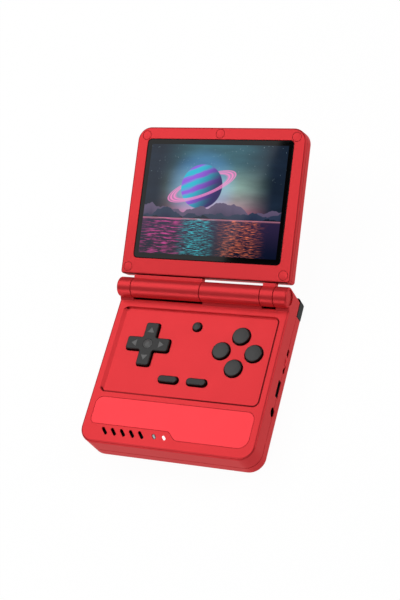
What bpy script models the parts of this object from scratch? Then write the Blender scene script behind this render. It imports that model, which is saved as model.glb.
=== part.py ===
"""Clamshell handheld game console, standing open with its lid at the stop.

Metres, +Z up. The origin is the middle of the base's underside. +Y runs from the
front edge towards the hinge, +X is the right side with the sockets, and the lid
leans back from the hinge. Lid pieces are modelled in the lid's own axes, where X
runs along the hinge, Y up the screen and Z out of the screen, from the hinge axis.
"""

import math

import bmesh
import bpy
from mathutils import Matrix, Vector

# Clearances
FIT_GAP = 0.0003
BUTTON_GAP = 0.0004
OVERRUN = 0.0010
JOIN_DEPTH = 0.0006
SMALLEST_RADIUS = 0.0002
MERGE_DISTANCE = 0.00001

# Base shell
BODY_WIDTH = 0.0820
BODY_DEPTH = 0.0784
BODY_HEIGHT = 0.0158
PARTING_DROP = 0.0025
WALL = 0.0016
FLOOR = 0.0024
FRONT_CORNER = 0.0070
REAR_CORNER = 0.0010
TOP_EDGE = 0.0009
BOTTOM_EDGE = 0.0018
LIP_THICKNESS = 0.0006
LIP_HEIGHT = 0.0010

# Control recess in the top face
RECESS_FROM_FRONT = 0.0237
RECESS_TO_BARREL = 0.0038
RECESS_SIDE_MARGIN = 0.0032
RECESS_DEPTH = 0.0014
RECESS_CORNER = 0.0028
RECESS_SKIN = 0.0012

# Bright front panel
PANEL_SIDE_MARGIN = 0.0035
PANEL_FROM_FRONT = 0.0050
PANEL_TO_RECESS = 0.0024
PANEL_STEP = 0.0037
PANEL_STEP_RUN = 0.0034
PANEL_STEP_FROM_LAMP = 0.0032
PANEL_STEP_RADIUS = 0.0030
PANEL_CORNER = 0.0024
PANEL_FRONT_CORNER = 0.0047
PANEL_THICKNESS = 0.0009

# Speaker slots and indicator windows
SLOT_COUNT = 5
SLOT_PITCH = 0.0044
SLOT_LENGTH = 0.0038
SLOT_WIDTH = 0.0010
SLOT_SLANT = math.radians(-49)
SLOT_FROM_FRONT = 0.0057
SLOT_FROM_SIDE = 0.0118
LAMP_LENGTH = 0.0023
LAMP_WIDTH = 0.0011
LAMP_PITCH = 0.0046
LAMP_FROM_SLOTS = 0.0063
LAMP_DEPTH = 0.0036
SPEAKER_LENGTH = 0.0220
SPEAKER_WIDTH = 2 * (SLOT_FROM_FRONT - WALL - FIT_GAP)
SPEAKER_THICKNESS = 0.0024

# Controls on the top face
CONTROL_PROUD = 0.0001
CONTROL_ROW = 0.0482
DPAD_FROM_SIDE = 0.0200
DPAD_SPAN = 0.0204
DPAD_ARM = 0.0062
DPAD_CORNER = 0.0009
DPAD_EDGE = 0.0004
DPAD_DOME = 0.0042
DPAD_DOME_RISE = 0.0003
DPAD_FLANGE = 0.0130
DPAD_PIVOT = 0.0026
DPAD_TILT = math.radians(2.5)
BUTTONS_FROM_SIDE = 0.0192
BUTTON_SPREAD = 0.0076
BUTTON_DIAMETER = 0.0084
BUTTON_CROWN = 0.0003
BUTTON_EDGE = 0.0004
MENU_TO_RECESS_REAR = 0.0070
MENU_DIAMETER = 0.0044
PILL_ROW = 0.0325
PILL_FROM_MIDDLE = 0.0068
PILL_LENGTH = 0.0092
PILL_WIDTH = 0.0031
FLANGE_RIM = 0.0008
FLANGE_THICKNESS = 0.0008
BUTTON_TRAVEL = 0.0009

# Hinge
HINGE_RADIUS = 0.0045
HINGE_RISE = 0.0028
HINGE_VALLEY = 0.0008
HINGE_GAP = 0.0004
HINGE_END_ROUND = 0.0009
OPEN_ANGLE = math.radians(161.2)
LEFT_KNUCKLE = 0.0070
LONG_LID_KNUCKLE_PAST_MIDDLE = 0.0
SHORT_LID_KNUCKLE = 0.0062
RIGHT_KNUCKLE = 0.0063
HINGE_FLOOR = 0.0014
STOP_CLEARANCE = 0.0005
PIN_RADIUS = 0.0020
PIN_LENGTH = 0.0180
CLUTCH_RADIUS = 0.0029
CLUTCH_LENGTH = 0.0180
CAP_RADIUS = 0.0035
CAP_THICKNESS = 0.0009

# Lid
LID_THICKNESS = 0.0066
LID_CLOSED_GAP = 0.0006
LID_NEAR = 0.0059
LID_FAR_CORNER = 0.0063
LID_NEAR_CORNER = 0.0010
LID_FRONT_DEPTH = 0.0019
LID_FRONT_EDGE = 0.0008
LID_BACK_EDGE = 0.0009
LID_WALL = 0.0015
TAB_SINK = 0.0003

# Screen
GLASS_SIDE_MARGIN = 0.0055
GLASS_FAR_MARGIN = 0.0056
GLASS_HEIGHT = 0.0549
GLASS_THICKNESS = 0.0009
GLASS_SINK = 0.0002
GLASS_CORNER = 0.0018
PICTURE_SIDE_MARGIN = 0.0021
PICTURE_END_MARGIN = 0.0023
LCD_THICKNESS = 0.0022
LCD_MARGIN = 0.0008

# Lid screws and the round covers over them
COVER_DIAMETER = 0.0042
COVER_THICKNESS = 0.0005
FAR_COVER_FROM_SIDE = 0.0045
FAR_COVER_FROM_END = 0.0039
MIDDLE_COVER_FROM_END = 0.0029
NEAR_COVER_FROM_SIDE = 0.0034
NEAR_COVER_FROM_END = 0.0032
SCREW_HEAD = 0.0030
SCREW_HEAD_THICKNESS = 0.0006
SCREW_SHANK = 0.0014
LID_SCREW_LENGTH = 0.0026
LID_BOSS = 0.0040

# Case screws and their posts
POST_FROM_SIDE = 0.0056
FRONT_POST_FROM_FRONT = 0.0062
REAR_POST_FROM_REAR = 0.0172
POST_DIAMETER = 0.0046
CASE_SCREW_TO_DECK = 0.0028
CASE_SCREW_SINK = 0.0008
POST_FOOT = 0.0022

# Battery and its door
DOOR_SIDE_MARGIN = 0.0150
DOOR_WIDTH = 0.0350
DOOR_FROM_FRONT = 0.0210
DOOR_CORNER = 0.0020
DOOR_THICKNESS = 0.0012
DOOR_LEDGE = 0.0015
DOOR_TAB = 0.0064
DOOR_SCREW_LENGTH = 0.0038
DOOR_SCREW_SINK = 0.0001
BATTERY_TO_BOARD = 0.0023

# Main board and the rubber keypads on it
KEY_ROOM = 0.0034
BOARD_THICKNESS = 0.0010
BOARD_SIDE_MARGIN = 0.0085
BOARD_FRONT_MARGIN = 0.0032
BOARD_REAR_MARGIN = 0.0122
BOARD_EAR_MARGIN = 0.0030
BOARD_EAR_FRONT = 0.0287
BOARD_EAR_REAR = 0.0572
BOARD_LEFT_EAR_FRONT = 0.0247
BOARD_NOTCH_FRONT = 0.0219
BOARD_NOTCH_MARGIN = 0.0135
KEYPAD_THICKNESS = 0.0006
DOME_CLEARANCE = 0.0001
KEYPAD_RIM = 0.0010
KEYPAD_CORNER = 0.0010

# Sockets on the right side
SOCKET_DROP = 0.0018
CHARGE_FROM_FRONT = 0.0363
CHARGE_WIDTH = 0.0076
CHARGE_THICKNESS = 0.0028
CHARGE_DEPTH = 0.0073
CHARGE_SKIN = 0.0003
CHARGE_TONGUE = 0.0006
CHARGE_SET_BACK = 0.0003
CHARGE_CHAMFER = 0.0004
JACK_FROM_FRONT = 0.0257
JACK_HOLE = 0.0040
JACK_BORE = 0.0035
JACK_BODY = 0.0050
JACK_LENGTH = 0.0105

# Volume wheel on the right side
WHEEL_FROM_FRONT = 0.0497
WHEEL_DROP = 0.0030
WHEEL_DIAMETER = 0.0130
WHEEL_THICKNESS = 0.0016
WHEEL_PROUD = 0.0003
WHEEL_SLOT_LENGTH = 0.0124
WHEEL_SLOT_HEIGHT = 0.0024
WHEEL_RIDGES = 36
WHEEL_RIDGE_DEPTH = 0.0002
WHEEL_BORE = 0.0030
POT_DIAMETER = 0.0080

# Power slider and card slot on the left side
SLIDER_FROM_FRONT = 0.0497
SLIDER_LENGTH = 0.0034
SLIDER_HEIGHT = 0.0020
SLIDER_PROUD = 0.0006
SLIDER_TRAVEL = 0.0025
SLIDER_SLOT_GAP = 0.0004
SLIDER_PLATE = 0.0012
SLIDER_PLATE_THICKNESS = 0.0008
SWITCH_LENGTH = 0.0090
SWITCH_DEPTH = 0.0035
SWITCH_THICKNESS = 0.0030
CARD_FROM_FRONT = 0.0320
CARD_DROP = 0.0012
CARD_WIDTH = 0.0118
CARD_THICKNESS = 0.0010
CARD_SOCKET_DEPTH = 0.0110
CARD_SOCKET_THICKNESS = 0.0019
CARD_SOCKET_WALL = 0.0009

# Shoulder buttons at the rear corners
SHOULDER_LENGTH = 0.0204
SHOULDER_SIDE = 0.0064
SHOULDER_THICKNESS = 0.0026
SHOULDER_PLATE = 0.0009
SHOULDER_PROUD = 0.0014
SHOULDER_SIDE_PROUD = 0.0001
SHOULDER_BOTTOM = 0.0019
SHOULDER_DROP = 0.0059
SHOULDER_CORNER = 0.0014
SHOULDER_EDGE = 0.0004
SHOULDER_SWING = math.radians(1.4)
SHOULDER_PIVOT_INSET = 0.0024
SHOULDER_PIVOT_DEPTH = 0.0028
SHOULDER_PIVOT_RADIUS = 0.0008
SHOULDER_LUG_RADIUS = 0.0020

# Facets
ARC_STEP = math.radians(22.5)
FINE_ARC_STEP = math.radians(15)
EDGE_STEPS = 2
WIDE_EDGE_STEPS = 3
ROUND_SHARE = 0.5
ROUND_SIDES = 24
BORE_SIDES = 20
SMALL_SIDES = 12
BALL_RINGS = 8
SHARP_ANGLE = math.radians(35)

# Finishes: colour, roughness and metallic value
SATIN_RED = ((0.745, 0.048, 0.056, 1), 0.42, 0.0)
BRIGHT_RED = ((1.0, 0.067, 0.084, 1), 0.30, 0.0)
BUTTON_GREY = ((0.069, 0.069, 0.069, 1), 0.45, 0.0)
BLACK_PLASTIC = ((0.012, 0.012, 0.012, 1), 0.40, 0.0)
RUBBER_GREY = ((0.30, 0.30, 0.31, 1), 0.70, 0.0)
BLACK_GLASS = ((0.004, 0.004, 0.005, 1), 0.06, 0.0)
LAMP_WHITE = ((0.86, 0.90, 0.90, 1), 0.25, 0.0)
STEEL = ((0.56, 0.57, 0.58, 1), 0.30, 1.0)
BOARD_GREEN = ((0.015, 0.12, 0.05, 1), 0.45, 0.0)
CELL_SILVER = ((0.42, 0.43, 0.45, 1), 0.38, 0.0)

# Places that follow from the sizes above
HALF_WIDTH = BODY_WIDTH / 2
FRONT = -BODY_DEPTH / 2
REAR = BODY_DEPTH / 2
AXIS_Y = REAR - HINGE_RADIUS
AXIS_Z = BODY_HEIGHT + HINGE_RISE
RECESS_TOP = BODY_HEIGHT - RECESS_DEPTH
CEILING = RECESS_TOP - RECESS_SKIN
HINGE_CEILING = AXIS_Z - HINGE_RADIUS - HINGE_GAP - HINGE_FLOOR
CONTROL_TOP = BODY_HEIGHT + CONTROL_PROUD
FLANGE_TOP = CEILING - FIT_GAP
FLANGE_LOW = FLANGE_TOP - FLANGE_THICKNESS
BOARD_TOP = CEILING - KEY_ROOM
BOARD_LOW = BOARD_TOP - BOARD_THICKNESS
PARTING_HEIGHT = BOARD_LOW - PARTING_DROP
POST_SPLIT = FLOOR + POST_FOOT
SOCKET_HEIGHT = BOARD_LOW - SOCKET_DROP
WHEEL_HEIGHT = BOARD_LOW - WHEEL_DROP
CARD_HEIGHT = BOARD_LOW - CARD_DROP
KEYPAD_LOW = BOARD_TOP + FIT_GAP
KEYPAD_TOP = KEYPAD_LOW + KEYPAD_THICKNESS
DOME_TOP = FLANGE_LOW - BUTTON_TRAVEL - DOME_CLEARANCE
RECESS_FRONT = FRONT + RECESS_FROM_FRONT
RECESS_REAR = AXIS_Y - HINGE_RADIUS - RECESS_TO_BARREL
CONTROL_Y = FRONT + CONTROL_ROW
DPAD_X = DPAD_FROM_SIDE - HALF_WIDTH
BUTTONS_X = HALF_WIDTH - BUTTONS_FROM_SIDE
MENU_Y = RECESS_REAR - MENU_TO_RECESS_REAR
PILL_Y = FRONT + PILL_ROW
CASE_SCREW_TIP = CEILING - CASE_SCREW_TO_DECK
SHOULDER_TOP = BODY_HEIGHT - SHOULDER_DROP
FIRST_SEAM = -HALF_WIDTH + LEFT_KNUCKLE
SECOND_SEAM = LONG_LID_KNUCKLE_PAST_MIDDLE
FOURTH_SEAM = HALF_WIDTH - RIGHT_KNUCKLE
THIRD_SEAM = FOURTH_SEAM - SHORT_LID_KNUCKLE
SEAM = FIT_GAP / 2
LID_FACE = HINGE_RISE - LID_CLOSED_GAP
LID_BACK = LID_FACE - LID_THICKNESS
LID_SPLIT = LID_FACE - LID_FRONT_DEPTH
LID_FAR = AXIS_Y - FRONT
LEAN = math.pi - OPEN_ANGLE

PART_NAME = "handheld_console"


def clear_scene():
    """Remove everything that the start-up scene holds."""
    for thing in list(bpy.data.objects):
        bpy.data.objects.remove(thing, do_unlink=True)


def new_collection(name):
    """A collection of the given name, linked to the scene."""
    collection = bpy.data.collections.new(name)
    bpy.context.scene.collection.children.link(collection)
    return collection


def new_material(name, look):
    """A Principled material from a colour, roughness and metallic value."""
    colour, roughness, metallic = look
    material = bpy.data.materials.new(name)
    material.use_nodes = True
    shader = material.node_tree.nodes["Principled BSDF"]
    shader.inputs["Base Color"].default_value = colour
    shader.inputs["Roughness"].default_value = roughness
    shader.inputs["Metallic"].default_value = metallic
    material.diffuse_color = colour
    return material


def mesh_from(bm, name="shape"):
    """Turn a bmesh into a mesh with outward faces and free the bmesh."""
    bmesh.ops.recalc_face_normals(bm, faces=bm.faces)
    mesh = bpy.data.meshes.new(name)
    bm.to_mesh(mesh)
    bm.free()
    return mesh


def rounded(corners, step=ARC_STEP):
    """Outline points through corners (x, y, radius), counterclockwise, each turned by an arc."""
    points = []
    for index, (x, y, radius) in enumerate(corners):
        here = Vector((x, y))
        before = Vector(corners[index - 1][:2]) - here
        after = Vector(corners[(index + 1) % len(corners)][:2]) - here
        half = before.angle(after) / 2
        reach = min(radius / math.tan(half), before.length / 2, after.length / 2)
        fillet = reach * math.tan(half)
        middle = (before.normalized() + after.normalized()).normalized()
        centre = here + middle * fillet / math.sin(half)
        start = here + before.normalized() * reach - centre
        turn = math.copysign(math.pi - 2 * half, after.cross(before))
        count = max(1, round(abs(turn) / step))
        for part in range(count + 1):
            points.append(centre + Matrix.Rotation(turn * part / count, 2) @ start)
    kept = [p for p, q in zip(points, points[-1:] + points[:-1]) if (p - q).length > MERGE_DISTANCE]
    return [tuple(point) for point in kept]


def rectangle(left, right, front, rear, radius, rear_radius=None, step=ARC_STEP):
    """A rectangle with rounded corners, the rear ones of their own radius if one is given."""
    back = radius if rear_radius is None else rear_radius
    corners = ((left, front, radius), (right, front, radius), (right, rear, back), (left, rear, back))
    return rounded(corners, step)


def arc(centre, radius, first, last, step=FINE_ARC_STEP):
    """Points on an arc between two angles, ends included."""
    count = max(1, math.ceil(abs(last - first) / step))
    angles = [first + (last - first) * part / count for part in range(count + 1)]
    return [(centre[0] + radius * math.cos(a), centre[1] + radius * math.sin(a)) for a in angles]


def stadium(x, y, length, width, angle=0.0, steps=4):
    """A slot outline with round ends, turned about its middle."""
    ends = ((length - width) / 2, 0.0), (-(length - width) / 2, 0.0)
    turn = Matrix.Rotation(angle, 2)
    first = arc(ends[0], width / 2, -math.pi / 2, math.pi / 2, math.pi / steps)
    second = arc(ends[1], width / 2, math.pi / 2, 3 * math.pi / 2, math.pi / steps)
    return [tuple(turn @ Vector(point) + Vector((x, y))) for point in first + second]


def prism(points, low, high):
    """A flat outline given thickness from low to high, as one closed mesh."""
    curve = bpy.data.curves.new("outline", "CURVE")
    curve.dimensions = "2D"
    curve.fill_mode = "BOTH"
    curve.extrude = (high - low) / 2
    spline = curve.splines.new("POLY")
    spline.points.add(len(points) - 1)
    for place, (x, y) in zip(spline.points, points):
        place.co = (x, y, 0, 1)
    spline.use_cyclic_u = True
    holder = bpy.data.objects.new("outline", curve)
    raw = bpy.data.meshes.new_from_object(holder)
    bpy.data.objects.remove(holder)
    bpy.data.curves.remove(curve)
    bm = bmesh.new()
    bm.from_mesh(raw)
    bpy.data.meshes.remove(raw)
    bmesh.ops.remove_doubles(bm, verts=bm.verts, dist=MERGE_DISTANCE)
    bmesh.ops.dissolve_limit(bm, angle_limit=math.radians(1), verts=bm.verts, edges=bm.edges)
    bmesh.ops.translate(bm, verts=bm.verts, vec=(0, 0, (high + low) / 2))
    return mesh_from(bm)


def along_x(mesh):
    """Turn a mesh drawn in X and Y so that its outline lies in Y and Z and its height runs along X."""
    mesh.transform(Matrix(((0, 0, 1, 0), (1, 0, 0, 0), (0, 1, 0, 0), (0, 0, 0, 1))))
    return mesh


def side_prism(points, left, right):
    """An outline in Y and Z given thickness along X."""
    return along_x(prism(points, left, right))


def moulded(outline, low, high, low_edge=0.0, high_edge=0.0, steps=EDGE_STEPS):
    """A body with rounded lower and upper edges. The outline function takes how far the wall is drawn in."""
    levels = []
    for radius, base, way in ((low_edge, low, 1), (high_edge, high, -1)):
        turns = [math.pi / 2 * part / steps for part in range(steps + 1)] if radius else [math.pi / 2]
        levels.append([(base + way * radius * (1 - math.cos(a)), radius * (1 - math.sin(a))) for a in turns])
    bm = bmesh.new()
    rings = []
    for z, inset in levels[0] + levels[1][::-1]:
        rings.append([bm.verts.new((x, y, z)) for x, y in outline(inset)])
    for lower, upper in zip(rings, rings[1:]):
        for index, corner in enumerate(lower):
            following = (index + 1) % len(lower)
            bm.faces.new((corner, lower[following], upper[following], upper[index]))
    bm.faces.new(rings[0][::-1])
    bm.faces.new(rings[-1])
    return mesh_from(bm)


def block(left, right, front, rear, low, high):
    """A box between six planes."""
    bm = bmesh.new()
    size = Matrix.Diagonal((right - left, rear - front, high - low, 1))
    middle = Matrix.Translation(((left + right) / 2, (front + rear) / 2, (low + high) / 2))
    bmesh.ops.create_cube(bm, size=1, matrix=middle @ size)
    return mesh_from(bm)


def cylinder(radius, low, high, x=0.0, y=0.0, sides=BORE_SIDES):
    """An upright cylinder."""
    bm = bmesh.new()
    place = Matrix.Translation((x, y, (low + high) / 2))
    bmesh.ops.create_cone(
        bm, cap_ends=True, segments=sides, radius1=radius, radius2=radius, depth=high - low, matrix=place
    )
    return mesh_from(bm)


def rod(radius, left, right, y, z, sides=BORE_SIDES):
    """A cylinder along X."""
    return along_x(cylinder(radius, left, right, y, z, sides))


def ball(radius, x, y, z, rise=None, sides=SMALL_SIDES):
    """A sphere, pressed flat to the given rise if there is one."""
    bm = bmesh.new()
    squash = Matrix.Diagonal((1, 1, (rise or radius) / radius, 1))
    place = Matrix.Translation((x, y, z)) @ squash
    bmesh.ops.create_uvsphere(bm, u_segments=sides, v_segments=BALL_RINGS, radius=radius, matrix=place)
    return mesh_from(bm)


def combined(meshes):
    """Several separate shapes in one mesh, for use as one cutter."""
    bm = bmesh.new()
    for mesh in meshes:
        bm.from_mesh(mesh)
        bpy.data.meshes.remove(mesh)
    return mesh_from(bm)


def mirrored(mesh):
    """The same mesh on the other side of the middle plane."""
    copy = mesh.copy()
    copy.transform(Matrix.Diagonal((-1, 1, 1, 1)))
    copy.flip_normals()
    return copy


class Builder:
    """Puts pieces and their cutters into the scene."""

    def __init__(self):
        self.parts = new_collection(PART_NAME)
        self.cutters = new_collection("cutters")

    def empty(self, name, location, rotation=(0.0, 0.0, 0.0)):
        """An axis marker that moving pieces hang from."""
        marker = bpy.data.objects.new(name, None)
        marker.location = location
        marker.rotation_euler = rotation
        self.parts.objects.link(marker)
        return marker

    def piece(self, name, mesh, look, parent=None, origin=None):
        """One named sub-part with its own material, its origin moved to a joint axis if one is given."""
        mesh.name = name
        mesh.shade_smooth()
        mesh.set_sharp_from_angle(angle=SHARP_ANGLE)
        mesh.materials.append(new_material(name, look))
        thing = bpy.data.objects.new(name, mesh)
        thing.parent = parent
        if origin:
            mesh.transform(Matrix.Translation(-Vector(origin)))
            thing.location = origin
        self.parts.objects.link(thing)
        return thing

    def turned(self, name, profile, look, location, parent=None, sides=ROUND_SIDES, along=None):
        """A turned sub-part from (radius, height) points that run down its outer side."""
        bm = bmesh.new()
        places = [bm.verts.new((radius, 0, height)) for radius, height in profile]
        for upper, lower in zip(places, places[1:]):
            bm.edges.new((upper, lower))
        mesh = bpy.data.meshes.new(name)
        bm.to_mesh(mesh)
        bm.free()
        mesh.materials.append(new_material(name, look))
        thing = bpy.data.objects.new(name, mesh)
        thing.parent = parent
        thing.location = location
        if along == "X":
            thing.rotation_euler = (0, math.pi / 2, 0)
        if along == "-X":
            thing.rotation_euler = (0, -math.pi / 2, 0)
        screw = thing.modifiers.new("turn", "SCREW")
        screw.axis = "Z"
        screw.steps = sides
        screw.render_steps = sides
        screw.use_merge_vertices = True
        screw.merge_threshold = MERGE_DISTANCE
        screw.use_smooth_shade = True
        self.parts.objects.link(thing)
        return thing

    def change(self, thing, operation, mesh, what):
        """Cut a shape out of a piece, or join one to it."""
        helper = bpy.data.objects.new(f"{thing.name}_{what}", mesh)
        helper.hide_render = True
        helper.display_type = "WIRE"
        helper.parent = thing.parent
        helper.location = (0, 0, 0)
        self.cutters.objects.link(helper)
        modifier = thing.modifiers.new(what, "BOOLEAN")
        modifier.operation = operation
        modifier.solver = "EXACT"
        modifier.object = helper

    def cut(self, thing, mesh, what):
        """Remove a shape from a piece."""
        self.change(thing, "DIFFERENCE", mesh, what)

    def join(self, thing, mesh, what):
        """Add a shape to a piece."""
        self.change(thing, "UNION", mesh, what)


def body_outline(inset, rear_inset=0.0):
    """The base's plan, drawn in by an inset at the front and sides and by another at the rear."""
    return rectangle(
        -HALF_WIDTH + inset,
        HALF_WIDTH - inset,
        FRONT + inset,
        REAR - rear_inset,
        max(FRONT_CORNER - inset, SMALLEST_RADIUS),
        max(REAR_CORNER - rear_inset, SMALLEST_RADIUS),
        FINE_ARC_STEP,
    )


def post_places():
    """Centres of the four case screws."""
    side = HALF_WIDTH - POST_FROM_SIDE
    rows = FRONT + FRONT_POST_FROM_FRONT, REAR - REAR_POST_FROM_REAR
    return [(x, y) for x in (-side, side) for y in rows]


def knuckle_profile():
    """Section of a fixed knuckle in Y and Z: valley, barrel, and the rear wall that runs up to it."""
    valley_z = BODY_HEIGHT + HINGE_VALLEY
    reach = HINGE_RADIUS + HINGE_VALLEY
    valley_y = AXIS_Y - math.sqrt(reach**2 - (AXIS_Z - valley_z) ** 2)
    slope = math.atan2(AXIS_Z - valley_z, AXIS_Y - valley_y)
    foot = CEILING
    points = [(valley_y, foot), (valley_y, BODY_HEIGHT)]
    points += arc((valley_y, valley_z), HINGE_VALLEY, -math.pi / 2, slope)[1:]
    points += arc((AXIS_Y, AXIS_Z), HINGE_RADIUS, math.pi + slope, 0)[1:]
    points += [(REAR, foot)]
    return points[::-1]


def fixed_knuckle(left, right):
    """A knuckle moulded with the base, its outer end rounded where it reaches the side wall."""
    mesh = side_prism(knuckle_profile(), left, right)
    bm = bmesh.new()
    bm.from_mesh(mesh)
    bpy.data.meshes.remove(mesh)
    ends = [x for x in (left, right) if abs(abs(x) - HALF_WIDTH) < MERGE_DISTANCE]
    rim = [
        edge
        for edge in bm.edges
        if any(all(abs(v.co.x - x) < MERGE_DISTANCE for v in edge.verts) for x in ends)
        and all(v.co.z > BODY_HEIGHT - MERGE_DISTANCE for v in edge.verts)
    ]
    if rim:
        bmesh.ops.bevel(
            bm, geom=rim, offset=HINGE_END_ROUND, segments=EDGE_STEPS, profile=ROUND_SHARE, affect="EDGES"
        )
    return mesh_from(bm)


def bay_profile():
    """Room for a lid knuckle: a trough round the barrel and a lowered rear wall for the open lid."""
    radius = HINGE_RADIUS + HINGE_GAP
    stop = AXIS_Z - math.cos(LEAN) * -LID_BACK - STOP_CLEARANCE
    start = -math.asin((AXIS_Z - stop) / radius)
    points = arc((AXIS_Y, AXIS_Z), radius, start, -math.pi)
    top = AXIS_Z + radius + OVERRUN
    points += [(AXIS_Y - radius, top), (REAR + OVERRUN, top), (REAR + OVERRUN, stop)]
    return points[::-1]


def panel_corners(inset):
    """The bright panel's outline, stepped back on the left to clear the speaker slots."""
    side = HALF_WIDTH - PANEL_SIDE_MARGIN - inset
    front = FRONT + PANEL_FROM_FRONT + inset
    rear = RECESS_FRONT - PANEL_TO_RECESS - inset
    back = front + PANEL_STEP
    start = lamp_places()[-1][0] + PANEL_STEP_FROM_LAMP - PANEL_STEP_RUN / 2
    return (
        (-side, back, PANEL_CORNER - inset),
        (start, back, PANEL_STEP_RADIUS),
        (start + PANEL_STEP_RUN, front, PANEL_STEP_RADIUS),
        (side, front, PANEL_FRONT_CORNER - inset),
        (side, rear, PANEL_CORNER - inset),
        (-side, rear, PANEL_CORNER - inset),
    )


def cross(x, y, span, arm, corner):
    """Outline of a plus sign with rounded corners."""
    far, near = span / 2, arm / 2
    shape = (
        (near, -far), (near, -near), (far, -near), (far, near), (near, near), (near, far),
        (-near, far), (-near, near), (-far, near), (-far, -near), (-near, -near), (-near, -far),
    )
    return rounded([(x + u, y + v, corner) for u, v in shape], math.radians(30))


def button_places():
    """Centres of the four face buttons by name."""
    x, y = BUTTONS_X, CONTROL_Y
    return {
        "button_a": (x + BUTTON_SPREAD, y),
        "button_b": (x, y - BUTTON_SPREAD),
        "button_x": (x, y + BUTTON_SPREAD),
        "button_y": (x - BUTTON_SPREAD, y),
    }


def slot_places():
    """Centres of the speaker slots."""
    first = -HALF_WIDTH + SLOT_FROM_SIDE
    return [(first + SLOT_PITCH * index, FRONT + SLOT_FROM_FRONT) for index in range(SLOT_COUNT)]


def lamp_places():
    """Centres of the two indicator windows."""
    last, y = slot_places()[-1]
    first = last + LAMP_FROM_SLOTS
    return [(first, y), (first + LAMP_PITCH, y)]


def wheel_place():
    """Centre of the volume wheel."""
    return HALF_WIDTH + WHEEL_PROUD - WHEEL_DIAMETER / 2, FRONT + WHEEL_FROM_FRONT


def side_slot(front_distance, z, length, height):
    """Outline in Y and Z of a round-ended slot in a side wall."""
    return stadium(FRONT + front_distance, z, length, height)


def shoulder_room(low, high):
    """Cutters for both shoulder buttons: a strip along the rear wall, swept by their swing."""
    inner = HALF_WIDTH - SHOULDER_LENGTH - BUTTON_GAP
    swing = SHOULDER_LENGTH * math.sin(SHOULDER_SWING)
    front = REAR + SHOULDER_PROUD - SHOULDER_THICKNESS - swing - BUTTON_GAP
    right = block(inner, HALF_WIDTH + OVERRUN, front, REAR + OVERRUN, low, high)
    return combined([mirrored(right), right])


def shoulder_side_room(low, high):
    """Cutters for the arms of the shoulder buttons that wrap round onto the side walls."""
    swing = SHOULDER_LENGTH * math.sin(SHOULDER_SWING)
    inner = HALF_WIDTH - SHOULDER_THICKNESS - BUTTON_GAP * 2
    front = REAR - SHOULDER_SIDE - swing - BUTTON_GAP
    right = block(inner, HALF_WIDTH + OVERRUN, front, REAR - WALL, low, high)
    return combined([mirrored(right), right])


def charge_outline(inset):
    """Outline in Y and Z of the charging socket's mouth, drawn in by an inset."""
    middle = FRONT + CHARGE_FROM_FRONT
    return stadium(middle, SOCKET_HEIGHT, CHARGE_WIDTH - 2 * inset, CHARGE_THICKNESS - 2 * inset)


def side_cutters(builder, case):
    """Openings in the side walls that both halves of the case share."""
    outside = HALF_WIDTH + OVERRUN
    inside = HALF_WIDTH - WALL - OVERRUN
    builder.cut(case, side_prism(charge_outline(-FIT_GAP), inside, outside), "charge_opening")

    def mouth(inset):
        return charge_outline(inset - CHARGE_CHAMFER - FIT_GAP)

    flare = moulded(mouth, HALF_WIDTH - CHARGE_CHAMFER, outside, CHARGE_CHAMFER, 0.0, 1)
    builder.cut(case, along_x(flare), "charge_chamfer")
    jack = rod(JACK_HOLE / 2, inside, outside, FRONT + JACK_FROM_FRONT, SOCKET_HEIGHT)
    builder.cut(case, jack, "jack_opening")
    wheel = side_slot(WHEEL_FROM_FRONT, WHEEL_HEIGHT, WHEEL_SLOT_LENGTH, WHEEL_SLOT_HEIGHT)
    builder.cut(case, side_prism(wheel, inside, outside), "wheel_opening")
    length = SLIDER_LENGTH + SLIDER_TRAVEL + 2 * SLIDER_SLOT_GAP
    middle = SLIDER_FROM_FRONT + SLIDER_TRAVEL / 2
    slider = side_slot(middle, SOCKET_HEIGHT, length, SLIDER_HEIGHT + 2 * SLIDER_SLOT_GAP)
    builder.cut(case, side_prism(slider, -outside, -inside), "slider_opening")
    card = side_slot(CARD_FROM_FRONT, CARD_HEIGHT, CARD_WIDTH, CARD_THICKNESS)
    builder.cut(case, side_prism(card, -outside, -inside), "card_opening")


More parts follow.
